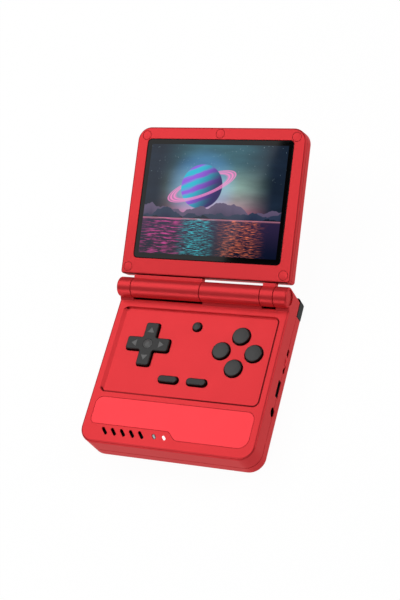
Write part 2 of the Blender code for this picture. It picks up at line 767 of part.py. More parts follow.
def build_top_case(builder):
    """The upper half of the base with the control deck, front panel seat and fixed knuckles."""
    low = PARTING_HEIGHT + SEAM
    case = builder.piece("top_case", moulded(body_outline, low, BODY_HEIGHT, 0.0, TOP_EDGE), SATIN_RED)
    spans = (
        (-HALF_WIDTH, FIRST_SEAM - SEAM),
        (SECOND_SEAM + SEAM, THIRD_SEAM - SEAM),
        (FOURTH_SEAM + SEAM, HALF_WIDTH),
    )
    for index, (left, right) in enumerate(spans):
        builder.join(case, fixed_knuckle(left, right), f"knuckle_{index}")
    for index, (left, right) in enumerate(((FIRST_SEAM, SECOND_SEAM), (THIRD_SEAM, FOURTH_SEAM))):
        bay = side_prism(bay_profile(), left - SEAM, right + SEAM)
        builder.cut(case, bay, f"bay_{index}")

    bottom = low - OVERRUN
    hinge_front = AXIS_Y - HINGE_RADIUS - HINGE_GAP - HINGE_FLOOR
    side = HALF_WIDTH - WALL
    corner = FRONT_CORNER - WALL
    room = rectangle(-side, side, FRONT + WALL, hinge_front, corner, SMALLEST_RADIUS)
    builder.cut(case, prism(room, bottom, CEILING), "cavity")
    rear_room = block(-side, side, hinge_front - OVERRUN, REAR - WALL, bottom, HINGE_CEILING)
    builder.cut(case, rear_room, "rear_cavity")
    rebate = WALL - LIP_THICKNESS - FIT_GAP
    step = prism(body_outline(rebate, rebate), bottom, PARTING_HEIGHT + LIP_HEIGHT + FIT_GAP)
    builder.cut(case, step, "lip_rebate")

    posts = [
        cylinder(POST_DIAMETER / 2, POST_SPLIT + SEAM, CEILING + JOIN_DEPTH, x, y) for x, y in post_places()
    ]
    builder.join(case, combined(posts), "posts")
    reach = CASE_SCREW_TIP + FIT_GAP
    bores = [
        cylinder(SCREW_SHANK / 2 + FIT_GAP, POST_SPLIT - OVERRUN, reach, x, y, SMALL_SIDES)
        for x, y in post_places()
    ]
    builder.cut(case, combined(bores), "post_bores")

    recess_side = HALF_WIDTH - RECESS_SIDE_MARGIN
    recess = rectangle(-recess_side, recess_side, RECESS_FRONT, RECESS_REAR, RECESS_CORNER)
    builder.cut(case, prism(recess, RECESS_TOP, BODY_HEIGHT + OVERRUN), "recess")
    through = CEILING - OVERRUN, RECESS_TOP + OVERRUN
    holes = [
        cylinder(BUTTON_DIAMETER / 2 + BUTTON_GAP, *through, x, y, ROUND_SIDES)
        for x, y in button_places().values()
    ]
    holes.append(cylinder(MENU_DIAMETER / 2 + BUTTON_GAP, *through, 0.0, MENU_Y))
    for x in (-PILL_FROM_MIDDLE, PILL_FROM_MIDDLE):
        pill = stadium(x, PILL_Y, PILL_LENGTH + 2 * BUTTON_GAP, PILL_WIDTH + 2 * BUTTON_GAP, 0.0, 6)
        holes.append(prism(pill, *through))
    span, arm = DPAD_SPAN + 2 * BUTTON_GAP, DPAD_ARM + 2 * BUTTON_GAP
    holes.append(prism(cross(DPAD_X, CONTROL_Y, span, arm, DPAD_CORNER), *through))
    builder.cut(case, combined(holes), "button_holes")

    seat = BODY_HEIGHT - PANEL_THICKNESS - FIT_GAP
    builder.cut(case, prism(rounded(panel_corners(-FIT_GAP)), seat, BODY_HEIGHT + OVERRUN), "panel_seat")
    slots = [
        prism(stadium(x, y, SLOT_LENGTH, SLOT_WIDTH, SLOT_SLANT), CEILING - OVERRUN, BODY_HEIGHT + OVERRUN)
        for x, y in slot_places()
    ]
    for x, y in lamp_places():
        window = stadium(x, y, LAMP_LENGTH + 2 * FIT_GAP, LAMP_WIDTH + 2 * FIT_GAP, SLOT_SLANT)
        slots.append(prism(window, CEILING - OVERRUN, BODY_HEIGHT + OVERRUN))
    builder.cut(case, combined(slots), "slots")

    outer = HALF_WIDTH + OVERRUN
    pin_bore = PIN_RADIUS + FIT_GAP
    shafts = [rod(pin_bore, -outer, FIRST_SEAM + SEAM, AXIS_Y, AXIS_Z)]
    shafts.append(rod(pin_bore, FOURTH_SEAM - SEAM, outer, AXIS_Y, AXIS_Z))
    shafts.append(rod(CLUTCH_RADIUS + FIT_GAP, SECOND_SEAM, THIRD_SEAM, AXIS_Y, AXIS_Z))
    builder.cut(case, combined(shafts), "hinge_bores")
    seat_depth = HALF_WIDTH - CAP_THICKNESS - FIT_GAP
    caps = [rod(CAP_RADIUS + FIT_GAP, seat_depth, outer, AXIS_Y, AXIS_Z, ROUND_SIDES)]
    caps.append(mirrored(caps[0]))
    builder.cut(case, combined(caps), "cap_seats")

    side_cutters(builder, case)


def door_outline(inset):
    """The battery door's outline with the round tab for its screw at the front."""
    side = HALF_WIDTH - DOOR_SIDE_MARGIN - inset
    front = FRONT + DOOR_FROM_FRONT + inset
    rear = FRONT + DOOR_FROM_FRONT + DOOR_WIDTH - inset
    return rectangle(-side, side, front, rear, DOOR_CORNER)


def tab_outline(inset):
    """The screw tab on the front of the battery door."""
    length, width = DOOR_TAB * 2 - 2 * inset, DOOR_TAB - 2 * inset
    return stadium(0.0, FRONT + DOOR_FROM_FRONT, length, width, math.pi / 2, 6)


def door_screw_place():
    """Centre of the battery door's screw."""
    return 0.0, FRONT + DOOR_FROM_FRONT - DOOR_TAB / 2


def build_bottom_case(builder):
    """The lower half of the base: a tray with a lip, screw posts and the battery opening."""
    high = PARTING_HEIGHT - SEAM
    shell = moulded(body_outline, 0.0, high, BOTTOM_EDGE, 0.0, WIDE_EDGE_STEPS)
    case = builder.piece("bottom_case", shell, SATIN_RED)
    lip = WALL - LIP_THICKNESS
    ring = prism(body_outline(lip, lip), high - OVERRUN, PARTING_HEIGHT + LIP_HEIGHT)
    builder.join(case, ring, "lip")
    builder.cut(case, prism(body_outline(WALL, WALL), FLOOR, BODY_HEIGHT), "cavity")
    posts = [
        cylinder(POST_DIAMETER / 2, FLOOR - JOIN_DEPTH, POST_SPLIT - SEAM, x, y) for x, y in post_places()
    ]
    door_x, door_y = door_screw_place()
    boss_top = DOOR_SCREW_SINK + SCREW_HEAD_THICKNESS + DOOR_SCREW_LENGTH + FIT_GAP + FLANGE_THICKNESS
    posts.append(cylinder(DOOR_TAB / 2, FLOOR - JOIN_DEPTH, boss_top, door_x, door_y))
    builder.join(case, combined(posts), "posts")
    head_room = CASE_SCREW_SINK + SCREW_HEAD_THICKNESS + FIT_GAP
    heads = [cylinder(SCREW_HEAD / 2 + FIT_GAP, -OVERRUN, head_room, x, y) for x, y in post_places()]
    builder.cut(case, combined(heads), "screw_heads")
    shanks = [
        cylinder(SCREW_SHANK / 2 + FIT_GAP, head_room - SEAM, BODY_HEIGHT, x, y, SMALL_SIDES)
        for x, y in post_places()
    ]
    builder.cut(case, combined(shanks), "screw_shanks")

    seat = DOOR_THICKNESS + FIT_GAP
    builder.cut(case, prism(door_outline(-FIT_GAP), -OVERRUN, seat), "door_seat")
    builder.cut(case, prism(tab_outline(-FIT_GAP), -OVERRUN, seat), "tab_seat")
    builder.cut(case, prism(door_outline(DOOR_LEDGE), -OVERRUN, FLOOR + OVERRUN), "battery_opening")
    boss_bore = cylinder(
        SCREW_SHANK / 2 + FIT_GAP, seat - SEAM, boss_top - FLANGE_THICKNESS, door_x, door_y, SMALL_SIDES
    )
    builder.cut(case, boss_bore, "door_screw_bore")

    side_cutters(builder, case)
    wheel_x, wheel_y = wheel_place()
    wheel_low = WHEEL_HEIGHT - WHEEL_THICKNESS / 2 - FIT_GAP
    wheel_room = cylinder(WHEEL_DIAMETER / 2 + FIT_GAP, wheel_low, BODY_HEIGHT, wheel_x, wheel_y, ROUND_SIDES)
    builder.cut(case, wheel_room, "wheel_room")
    jack_end = HALF_WIDTH - WALL - SEAM
    jack_start = jack_end - JACK_LENGTH - FIT_GAP
    jack_room = rod(JACK_BODY / 2 + FIT_GAP, jack_start, jack_end, FRONT + JACK_FROM_FRONT, SOCKET_HEIGHT)
    builder.cut(case, jack_room, "jack_room")
    top = PARTING_HEIGHT + LIP_HEIGHT + OVERRUN
    low = SHOULDER_BOTTOM - BUTTON_GAP
    builder.cut(case, shoulder_room(low, top), "shoulder_room")
    builder.cut(case, shoulder_side_room(low, top), "shoulder_side_room")
    pins = []
    for way in (-1, 1):
        x, y = shoulder_pivot(way)
        pins.append(cylinder(SHOULDER_PIVOT_RADIUS, FLOOR - JOIN_DEPTH, high, x, y, SMALL_SIDES))
    builder.join(case, combined(pins), "shoulder_pins")


def build_battery(builder):
    """The battery, its door and the door's screw."""
    door = builder.piece("battery_cover", prism(door_outline(0.0), 0.0, DOOR_THICKNESS), SATIN_RED)
    x, y = door_screw_place()
    builder.join(door, prism(tab_outline(0.0), 0.0, DOOR_THICKNESS), "tab")
    head_room = DOOR_SCREW_SINK + SCREW_HEAD_THICKNESS + FIT_GAP
    builder.cut(door, cylinder(SCREW_HEAD / 2 + FIT_GAP, -OVERRUN, head_room, x, y), "screw_head")
    hole = cylinder(SCREW_SHANK / 2 + FIT_GAP, 0.0, DOOR_THICKNESS + OVERRUN, x, y, SMALL_SIDES)
    builder.cut(door, hole, "screw_hole")
    add_screw(builder, "battery_cover_screw", (x, y, DOOR_SCREW_SINK), DOOR_SCREW_LENGTH)
    low = DOOR_THICKNESS + FIT_GAP
    cell = door_outline(DOOR_LEDGE + FIT_GAP)
    builder.piece("battery", prism(cell, low, BOARD_LOW - BATTERY_TO_BOARD), CELL_SILVER)


def add_screw(builder, name, place, length, parent=None, down=False):
    """A pan-head screw whose head's outer face is at the given place, its shank going up or down."""
    way = -1 if down else 1
    shank = SCREW_SHANK / 2
    head = SCREW_HEAD / 2
    points = [(0.0, 0.0), (head, 0.0), (head, SCREW_HEAD_THICKNESS), (shank, SCREW_HEAD_THICKNESS)]
    points += [(shank, SCREW_HEAD_THICKNESS + length), (0.0, SCREW_HEAD_THICKNESS + length)]
    profile = [(radius, way * height) for radius, height in points]
    if not down:
        profile.reverse()
    builder.turned(name, profile, STEEL, place, parent, SMALL_SIDES)


def build_case_screws(builder):
    """Four screws that hold the halves of the base together."""
    names = "case_screw_front_left", "case_screw_rear_left", "case_screw_front_right", "case_screw_rear_right"
    for name, (x, y) in zip(names, post_places()):
        length = CASE_SCREW_TIP - CASE_SCREW_SINK - SCREW_HEAD_THICKNESS
        add_screw(builder, name, (x, y, CASE_SCREW_SINK), length)


def build_board(builder):
    """The main board with an ear for the charging socket and volume control, and a notch for the jack."""
    side = HALF_WIDTH - BOARD_SIDE_MARGIN
    ear = HALF_WIDTH - BOARD_EAR_MARGIN
    notch = HALF_WIDTH - BOARD_NOTCH_MARGIN
    front, rear = FRONT + BOARD_FRONT_MARGIN, REAR - BOARD_REAR_MARGIN
    ear_front, ear_rear = FRONT + BOARD_EAR_FRONT, FRONT + BOARD_EAR_REAR
    left_ear_front = FRONT + BOARD_LEFT_EAR_FRONT
    notch_front = FRONT + BOARD_NOTCH_FRONT
    corners = (
        (-side, front), (side, front), (side, notch_front), (notch, notch_front), (notch, ear_front),
        (ear, ear_front), (ear, ear_rear), (side, ear_rear), (side, rear), (-side, rear),
        (-side, ear_rear), (-ear, ear_rear), (-ear, left_ear_front), (-side, left_ear_front),
    )
    outline = rounded([(x, y, KEYPAD_CORNER / 2) for x, y in corners], math.radians(90))
    builder.piece("main_board", prism(outline, BOARD_LOW, BOARD_TOP), BOARD_GREEN)


def keypad(builder, name, outline, domes):
    """A sheet of rubber on the board with a low dome under each key."""
    sheet = builder.piece(name, prism(outline, KEYPAD_LOW, KEYPAD_TOP), RUBBER_GREY)
    foot = KEYPAD_TOP - JOIN_DEPTH / 2
    shapes = [cylinder(radius, foot, DOME_TOP, x, y, SMALL_SIDES) for x, y, radius in domes]
    builder.join(sheet, combined(shapes), "domes")


def build_keypads(builder):
    """The three rubber keypads."""
    arm = DPAD_SPAN / 2 - DPAD_ARM / 2
    reach = DPAD_SPAN / 2 + KEYPAD_RIM
    x, y = DPAD_X, CONTROL_Y
    pad = rectangle(x - reach, x + reach, y - reach, y + reach, KEYPAD_CORNER)
    dome = DPAD_ARM / 3
    domes = [(x + u * arm, y + v * arm, dome) for u, v in ((1, 0), (-1, 0), (0, 1), (0, -1))]
    keypad(builder, "dpad_keypad", pad, domes)
    x = BUTTONS_X
    pad = rectangle(x - reach, x + reach, y - reach, y + reach, KEYPAD_CORNER)
    domes = [(u, v, BUTTON_DIAMETER / 3) for u, v in button_places().values()]
    keypad(builder, "button_keypad", pad, domes)
    wide = PILL_FROM_MIDDLE + PILL_LENGTH / 2 + KEYPAD_RIM
    deep = PILL_WIDTH / 2 + KEYPAD_RIM
    pad = rectangle(-wide, wide, PILL_Y - deep, PILL_Y + deep, KEYPAD_CORNER)
    domes = [(u, PILL_Y, PILL_WIDTH / 2) for u in (-PILL_FROM_MIDDLE, PILL_FROM_MIDDLE)]
    keypad(builder, "start_select_keypad", pad, domes)
    body, plunger = MENU_DIAMETER / 2, MENU_DIAMETER / 4
    profile = [(0.0, DOME_TOP), (plunger, DOME_TOP), (plunger, KEYPAD_TOP)]
    profile += [(body, KEYPAD_TOP), (body, KEYPAD_LOW), (0.0, KEYPAD_LOW)]
    builder.turned("menu_switch", profile, BLACK_PLASTIC, (0.0, MENU_Y, 0.0), sides=SMALL_SIDES)


def build_front_details(builder):
    """The bright panel, the speaker and the two light pipes."""

    def outline(inset):
        return rounded(panel_corners(inset))

    low = BODY_HEIGHT - PANEL_THICKNESS
    builder.piece("accent_panel", prism(outline(0.0), low, BODY_HEIGHT), BRIGHT_RED)
    first, last = slot_places()[0], slot_places()[-1]
    middle = (first[0] + last[0]) / 2
    shape = stadium(middle, first[1], SPEAKER_LENGTH, SPEAKER_WIDTH, 0.0, 8)
    top = CEILING - FIT_GAP
    speaker = builder.piece("speaker", prism(shape, top - SPEAKER_THICKNESS, top), BLACK_PLASTIC)
    inner = stadium(middle, first[1], SPEAKER_LENGTH - 2 * WALL, SPEAKER_WIDTH - 2 * WALL, 0.0, 8)
    builder.cut(speaker, prism(inner, top - FLANGE_THICKNESS, CEILING), "cone")
    for name, (x, y) in zip(("power_lamp", "charge_lamp"), lamp_places()):
        pipe = stadium(x, y, LAMP_LENGTH, LAMP_WIDTH, SLOT_SLANT)
        builder.piece(name, prism(pipe, BODY_HEIGHT - LAMP_DEPTH, BODY_HEIGHT), LAMP_WHITE)


def build_buttons(builder):
    """Face buttons, menu button and the two pills, each with its retaining flange."""
    places = dict(button_places())
    places["menu_button"] = (0.0, MENU_Y)
    for name, (x, y) in places.items():
        radius = (MENU_DIAMETER if name == "menu_button" else BUTTON_DIAMETER) / 2
        shoulder = CONTROL_TOP - BUTTON_CROWN
        crown = [(0.0, CONTROL_TOP), (radius / 2, CONTROL_TOP - BUTTON_CROWN / 4)]
        crown += [(radius - BUTTON_EDGE, shoulder), (radius, shoulder - BUTTON_EDGE)]
        flange = radius + FLANGE_RIM
        foot = [(radius, FLANGE_TOP), (flange, FLANGE_TOP), (flange, FLANGE_LOW), (0.0, FLANGE_LOW)]
        builder.turned(name, crown + foot, BUTTON_GREY, (x, y, 0.0))
    for name, x in (("select_button", -PILL_FROM_MIDDLE), ("start_button", PILL_FROM_MIDDLE)):

        def outline(inset, x=x):
            return stadium(x, PILL_Y, PILL_LENGTH - 2 * inset, PILL_WIDTH - 2 * inset, 0.0, 6)

        pill = moulded(outline, FLANGE_TOP - JOIN_DEPTH, CONTROL_TOP, 0.0, BUTTON_EDGE)
        thing = builder.piece(name, pill, BUTTON_GREY, origin=(x, PILL_Y, 0.0))
        rim = stadium(x, PILL_Y, PILL_LENGTH + 2 * FLANGE_RIM, PILL_WIDTH + 2 * FLANGE_RIM, 0.0, 6)
        builder.join(thing, prism(rim, FLANGE_LOW, FLANGE_TOP), "flange")


def dpad_pivot_height():
    """Height of the directional pad's pivot, its ball just clear of the keypad."""
    return KEYPAD_TOP + FIT_GAP + DPAD_PIVOT / 2


def build_dpad(builder):
    """The directional pad, rocking on a small ball."""
    x, y = DPAD_X, CONTROL_Y
    pivot = (x, y, dpad_pivot_height())
    builder.piece("dpad_pivot", ball(DPAD_PIVOT / 2, *pivot), BLACK_PLASTIC, origin=pivot)

    def outline(inset):
        return cross(x, y, DPAD_SPAN - 2 * inset, DPAD_ARM - 2 * inset, DPAD_CORNER)

    low = FLANGE_LOW
    pad = builder.piece("dpad", moulded(outline, low, CONTROL_TOP, 0.0, DPAD_EDGE), BUTTON_GREY, origin=pivot)
    flange_top = CEILING - FIT_GAP - DPAD_FLANGE / 2 * math.sin(DPAD_TILT)
    flange = cylinder(DPAD_FLANGE / 2, low - FIT_GAP, flange_top, x, y, ROUND_SIDES)
    builder.join(pad, flange, "flange")
    builder.join(pad, ball(DPAD_DOME / 2, x, y, CONTROL_TOP, DPAD_DOME_RISE, BORE_SIDES), "dome")
    socket = cylinder(DPAD_PIVOT / 2 + FIT_GAP, low - OVERRUN, pivot[2] + DPAD_PIVOT / 2 + FIT_GAP, x, y)
    builder.cut(pad, socket, "pivot_socket")


def build_sockets(builder):
    """Charging socket, headphone jack and card socket."""
    mouth = HALF_WIDTH - CHARGE_SET_BACK
    back = mouth - CHARGE_DEPTH
    shell = builder.piece("charge_port", side_prism(charge_outline(0.0), back, mouth), STEEL)
    inside = side_prism(charge_outline(CHARGE_SKIN), back + CHARGE_SKIN, mouth + OVERRUN)
    builder.cut(shell, inside, "mouth")
    middle = FRONT + CHARGE_FROM_FRONT
    reach = CHARGE_WIDTH / 2 - CHARGE_THICKNESS / 2
    tongue = block(
        back + CHARGE_SKIN / 2,
        mouth - CHARGE_SKIN * 2,
        middle - reach,
        middle + reach,
        SOCKET_HEIGHT - CHARGE_TONGUE / 2,
        SOCKET_HEIGHT + CHARGE_TONGUE / 2,
    )
    builder.join(shell, tongue, "tongue")

    face = HALF_WIDTH - WALL - FIT_GAP
    y = FRONT + JACK_FROM_FRONT
    jack = builder.piece(
        "headphone_jack", rod(JACK_BODY / 2, face - JACK_LENGTH, face, y, SOCKET_HEIGHT), BLACK_PLASTIC
    )
    bore = rod(JACK_BORE / 2, face - JACK_LENGTH + FLANGE_THICKNESS, face + OVERRUN, y, SOCKET_HEIGHT)
    builder.cut(jack, bore, "bore")

    y = FRONT + CARD_FROM_FRONT
    half = CARD_WIDTH / 2 + CARD_SOCKET_WALL
    top = BOARD_LOW - FIT_GAP
    low = top - CARD_SOCKET_THICKNESS - CARD_SOCKET_WALL
    outer = -face + CARD_SOCKET_DEPTH
    card = builder.piece("card_socket", block(-face, outer, y - half, y + half, low, top), STEEL)
    slot = side_slot(CARD_FROM_FRONT, CARD_HEIGHT, CARD_WIDTH, CARD_THICKNESS)
    builder.cut(card, side_prism(slot, -face - OVERRUN, outer - CARD_SOCKET_WALL), "slot")


def build_wheel(builder):
    """The ridged volume wheel on the shaft of its control."""
    x, y = wheel_place()
    low = WHEEL_HEIGHT - WHEEL_THICKNESS / 2
    high = WHEEL_HEIGHT + WHEEL_THICKNESS / 2
    outer = WHEEL_DIAMETER / 2
    rim = []
    for index in range(2 * WHEEL_RIDGES):
        angle = math.pi * index / WHEEL_RIDGES
        radius = outer - WHEEL_RIDGE_DEPTH * (index % 2)
        rim.append((x + radius * math.cos(angle), y + radius * math.sin(angle)))
    wheel = builder.piece("volume_wheel", prism(rim, low, high), SATIN_RED, origin=(x, y, WHEEL_HEIGHT))
    builder.cut(wheel, cylinder(WHEEL_BORE / 2, low - OVERRUN, high + OVERRUN, x, y), "bore")
    shaft = WHEEL_BORE / 2 - FIT_GAP
    top = BOARD_LOW - FIT_GAP
    shoulder = high + FIT_GAP
    pot = POT_DIAMETER / 2
    profile = [(0.0, top), (pot, top), (pot, shoulder), (shaft, shoulder), (shaft, low), (0.0, low)]
    builder.turned("volume_control", profile, BLACK_PLASTIC, (x, y, 0.0), sides=BORE_SIDES)


def build_slider(builder):
    """The power slider and the switch behind it."""
    y = FRONT + SLIDER_FROM_FRONT
    inner = -HALF_WIDTH + WALL + FIT_GAP
    outer = -HALF_WIDTH - SLIDER_PROUD
    half = SLIDER_LENGTH / 2
    low, high = SOCKET_HEIGHT - SLIDER_HEIGHT / 2, SOCKET_HEIGHT + SLIDER_HEIGHT / 2
    knob = block(outer, inner + JOIN_DEPTH / 2, y - half, y + half, low, high)
    slider = builder.piece("power_slider", knob, BUTTON_GREY, origin=(-HALF_WIDTH, y, SOCKET_HEIGHT))
    plate = block(
        inner,
        inner + SLIDER_PLATE_THICKNESS,
        y - half - SLIDER_PLATE,
        y + half + SLIDER_PLATE,
        low - SLIDER_PLATE / 2,
        BOARD_LOW - FIT_GAP,
    )
    builder.join(slider, plate, "plate")
    start = inner + SLIDER_PLATE_THICKNESS + FIT_GAP
    middle = y + SLIDER_TRAVEL / 2
    top = BOARD_LOW - FIT_GAP
    reach = SWITCH_LENGTH / 2
    switch = block(start, start + SWITCH_DEPTH, middle - reach, middle + reach, top - SWITCH_THICKNESS, top)
    builder.piece("power_switch", switch, STEEL)


def shoulder_pivot(way):
    """Centre of a shoulder button's pivot on the left (-1) or right (1)."""
    x = HALF_WIDTH - SHOULDER_LENGTH + SHOULDER_PIVOT_INSET
    return way * x, REAR - SHOULDER_PIVOT_DEPTH


def shoulder_outline(inset):
    """Plan of the right shoulder button: a bar along the rear and an arm round the corner."""
    inner = HALF_WIDTH - SHOULDER_LENGTH + inset
    outer = HALF_WIDTH + SHOULDER_SIDE_PROUD - inset
    back = REAR + SHOULDER_PROUD - inset
    thickness = SHOULDER_THICKNESS - 2 * inset
    arm_end = REAR - SHOULDER_SIDE + inset
    return rounded(
        (
            (inner, back - thickness, SMALLEST_RADIUS),
            (outer - thickness, back - thickness, SHOULDER_EDGE),
            (outer - thickness, arm_end, SMALLEST_RADIUS),
            (outer, arm_end, SHOULDER_EDGE),
            (outer, back, SHOULDER_CORNER),
            (inner, back, SHOULDER_EDGE),
        )
    )


def build_shoulder_buttons(builder):
    """Buttons that wrap round the rear corners and swing on pins in the tray."""
    pivot_x, pivot_y = shoulder_pivot(1)
    arm_top = PARTING_HEIGHT - SEAM
    lug_low = FLOOR + FIT_GAP
    plate_front = REAR + SHOULDER_PROUD - SHOULDER_PLATE
    arm_end = REAR - SHOULDER_SIDE - OVERRUN
    inner, outer = HALF_WIDTH - SHOULDER_LENGTH - OVERRUN, HALF_WIDTH + OVERRUN
    for name, way in (("shoulder_left", -1), ("shoulder_right", 1)):
        body = moulded(shoulder_outline, SHOULDER_BOTTOM, SHOULDER_TOP, SHOULDER_EDGE, SHOULDER_EDGE)
        above_arm = block(inner, outer, arm_end, plate_front, arm_top, SHOULDER_TOP + OVERRUN)
        lug = cylinder(SHOULDER_LUG_RADIUS, lug_low, arm_top, pivot_x, pivot_y)
        bore = SHOULDER_PIVOT_RADIUS + FIT_GAP
        hole = cylinder(bore, lug_low - OVERRUN, arm_top + OVERRUN, pivot_x, pivot_y, SMALL_SIDES)
        if way < 0:
            body, above_arm, lug, hole = (mirrored(shape) for shape in (body, above_arm, lug, hole))
        place = (way * pivot_x, pivot_y, arm_top)
        button = builder.piece(name, body, BLACK_PLASTIC, origin=place)
        builder.cut(button, above_arm, "above_arm")
        builder.join(button, lug, "lug")
        builder.cut(button, hole, "pivot_hole")


def build_hinge(builder):
    """Pin, clutch and end caps on the hinge axis."""
    cap_inner = HALF_WIDTH - CAP_THICKNESS
    profile = [(0.0, CAP_THICKNESS), (CAP_RADIUS, CAP_THICKNESS), (CAP_RADIUS, 0.0), (0.0, 0.0)]
    builder.turned("hinge_cap_right", profile, SATIN_RED, (cap_inner, AXIS_Y, AXIS_Z), along="X")
    builder.turned("hinge_cap_left", profile, SATIN_RED, (-cap_inner, AXIS_Y, AXIS_Z), along="-X")
    end = cap_inner - FIT_GAP * 2
    profile = [(0.0, PIN_LENGTH), (PIN_RADIUS, PIN_LENGTH), (PIN_RADIUS, 0.0), (0.0, 0.0)]
    builder.turned("hinge_pin", profile, STEEL, (-end, AXIS_Y, AXIS_Z), along="X", sides=BORE_SIDES)
    start = THIRD_SEAM - FIT_GAP - CLUTCH_LENGTH
    shaft = end - start
    profile = [(0.0, shaft), (PIN_RADIUS, shaft), (PIN_RADIUS, CLUTCH_LENGTH)]
    profile += [(CLUTCH_RADIUS, CLUTCH_LENGTH), (CLUTCH_RADIUS, 0.0), (0.0, 0.0)]
    builder.turned("hinge_clutch", profile, STEEL, (start, AXIS_Y, AXIS_Z), along="X", sides=BORE_SIDES)


def lid_outline(inset):
    """The lid's outline in its own axes, drawn in by an inset."""
    return rectangle(
        -HALF_WIDTH + inset,
        HALF_WIDTH - inset,
        LID_NEAR + inset,
        LID_FAR - inset,
        max(LID_NEAR_CORNER - inset, SMALLEST_RADIUS),
        max(LID_FAR_CORNER - inset, SMALLEST_RADIUS),
        FINE_ARC_STEP,
    )


def glass_outline(inset):
    """The screen glass in the lid's axes."""
    side = HALF_WIDTH - GLASS_SIDE_MARGIN - inset
    far = LID_FAR - GLASS_FAR_MARGIN - inset
    near = LID_FAR - GLASS_FAR_MARGIN - GLASS_HEIGHT + inset
    return rectangle(-side, side, near, far, GLASS_CORNER - inset)


def picture_bounds():
    """Left, right, near and far edges of the lit picture in the lid's axes."""
    side = HALF_WIDTH - GLASS_SIDE_MARGIN - PICTURE_SIDE_MARGIN
    far = LID_FAR - GLASS_FAR_MARGIN - PICTURE_END_MARGIN
    near = LID_FAR - GLASS_FAR_MARGIN - GLASS_HEIGHT + PICTURE_END_MARGIN
    return -side, side, near, far


def cover_places():
    """Centres of the five screw covers in the lid's axes, by name."""
    far = LID_FAR - FAR_COVER_FROM_END
    near = LID_NEAR + NEAR_COVER_FROM_END
    far_side = HALF_WIDTH - FAR_COVER_FROM_SIDE
    near_side = HALF_WIDTH - NEAR_COVER_FROM_SIDE
    return {
        "top_left": (-far_side, far),
        "top_middle": (0.0, LID_FAR - MIDDLE_COVER_FROM_END),
        "top_right": (far_side, far),
        "lower_left": (-near_side, near),
        "lower_right": (near_side, near),
    }


def tab_profile():
    """Section of a lid knuckle's strap in the lid's Y and Z, running under the lid's near wall."""
    front = LID_FACE - TAB_SINK
    inside = LID_NEAR + LID_WALL
    return (
        (0.0, LID_BACK),
        (inside, LID_BACK),
        (inside, LID_SPLIT - FIT_GAP),
        (LID_NEAR - FIT_GAP, LID_SPLIT - FIT_GAP),
        (LID_NEAR - FIT_GAP, front),
        (0.0, front),
    )


def build_lid(builder, hinge):
    """The two halves of the lid, the back one carrying the moving knuckles."""
    shell = moulded(lid_outline, LID_SPLIT, LID_FACE, 0.0, LID_FRONT_EDGE)
    front = builder.piece("lid_front", shell, SATIN_RED, hinge)
    pocket = LID_FACE - GLASS_SINK - GLASS_THICKNESS - FIT_GAP
    builder.cut(front, prism(glass_outline(-FIT_GAP), pocket, LID_FACE + OVERRUN), "glass_pocket")
    left, right, near, far = picture_bounds()
    window = rectangle(left, right, near, far, SMALLEST_RADIUS)
    builder.cut(front, prism(window, LID_SPLIT - OVERRUN, pocket + OVERRUN), "window")
    cover_floor = LID_FACE - COVER_THICKNESS - FIT_GAP
    head_floor = cover_floor - SCREW_HEAD_THICKNESS - FIT_GAP
    seat_radius = COVER_DIAMETER / 2 + FIT_GAP
    covers, shanks = [], []
    for x, y in cover_places().values():
        covers.append(cylinder(seat_radius, head_floor, LID_FACE + OVERRUN, x, y))
        shanks.append(cylinder(SCREW_SHANK / 2 + FIT_GAP, LID_BACK, LID_FACE, x, y, SMALL_SIDES))
    builder.cut(front, combined(covers), "cover_seats")
    builder.cut(front, combined(shanks), "screw_holes")

    top = LID_SPLIT - FIT_GAP
    shell = moulded(lid_outline, LID_BACK, top, LID_BACK_EDGE, 0.0, WIDE_EDGE_STEPS)
    back = builder.piece("lid_back", shell, SATIN_RED, hinge)
    floor = LID_BACK + LID_WALL
    inner = prism(lid_outline(LID_WALL), floor, LID_FACE)
    builder.cut(back, inner, "cavity")
    bosses = [cylinder(LID_BOSS / 2, floor - JOIN_DEPTH, top, x, y) for x, y in cover_places().values()]
    builder.join(back, combined(bosses), "bosses")
    for index, (left, right) in enumerate(((FIRST_SEAM, SECOND_SEAM), (THIRD_SEAM, FOURTH_SEAM))):
        start, end = left + SEAM, right - SEAM
        builder.join(back, side_prism(tab_profile(), start, end), f"strap_{index}")
        builder.join(back, rod(HINGE_RADIUS, start, end, 0.0, 0.0, ROUND_SIDES), f"knuckle_{index}")
        bore = rod(PIN_RADIUS + FIT_GAP, start - OVERRUN, end + OVERRUN, 0.0, 0.0)
        builder.cut(back, bore, f"bore_{index}")
    screw_low = cover_floor - FIT_GAP - LID_SCREW_LENGTH - FIT_GAP * 2
    bores = [
        cylinder(SCREW_SHANK / 2 + FIT_GAP, screw_low, top + OVERRUN, x, y, SMALL_SIDES)
        for x, y in cover_places().values()
    ]
    builder.cut(back, combined(bores), "boss_bores")

    for name, (x, y) in cover_places().items():
        disc = [(0.0, LID_FACE), (COVER_DIAMETER / 2, LID_FACE)]
        disc += [(COVER_DIAMETER / 2, LID_FACE - COVER_THICKNESS), (0.0, LID_FACE - COVER_THICKNESS)]
        builder.turned(f"screw_cover_{name}", disc, SATIN_RED, (x, y, 0.0), hinge, BORE_SIDES)
        add_screw(builder, f"lid_screw_{name}", (x, y, cover_floor), LID_SCREW_LENGTH, hinge, down=True)


def build_screen(builder, hinge):
    """The glass and the display behind it."""
    top = LID_FACE - GLASS_SINK
    glass = prism(glass_outline(0.0), top - GLASS_THICKNESS, top)
    builder.piece("screen_glass", glass, BLACK_GLASS, hinge)
    left, right, near, far = picture_bounds()
    high = LID_SPLIT - FIT_GAP
    grow = LCD_MARGIN
    panel = block(left - grow, right + grow, near - grow, far + grow, high - LCD_THICKNESS, high)
    builder.piece("lcd_panel", panel, BLACK_GLASS, hinge)


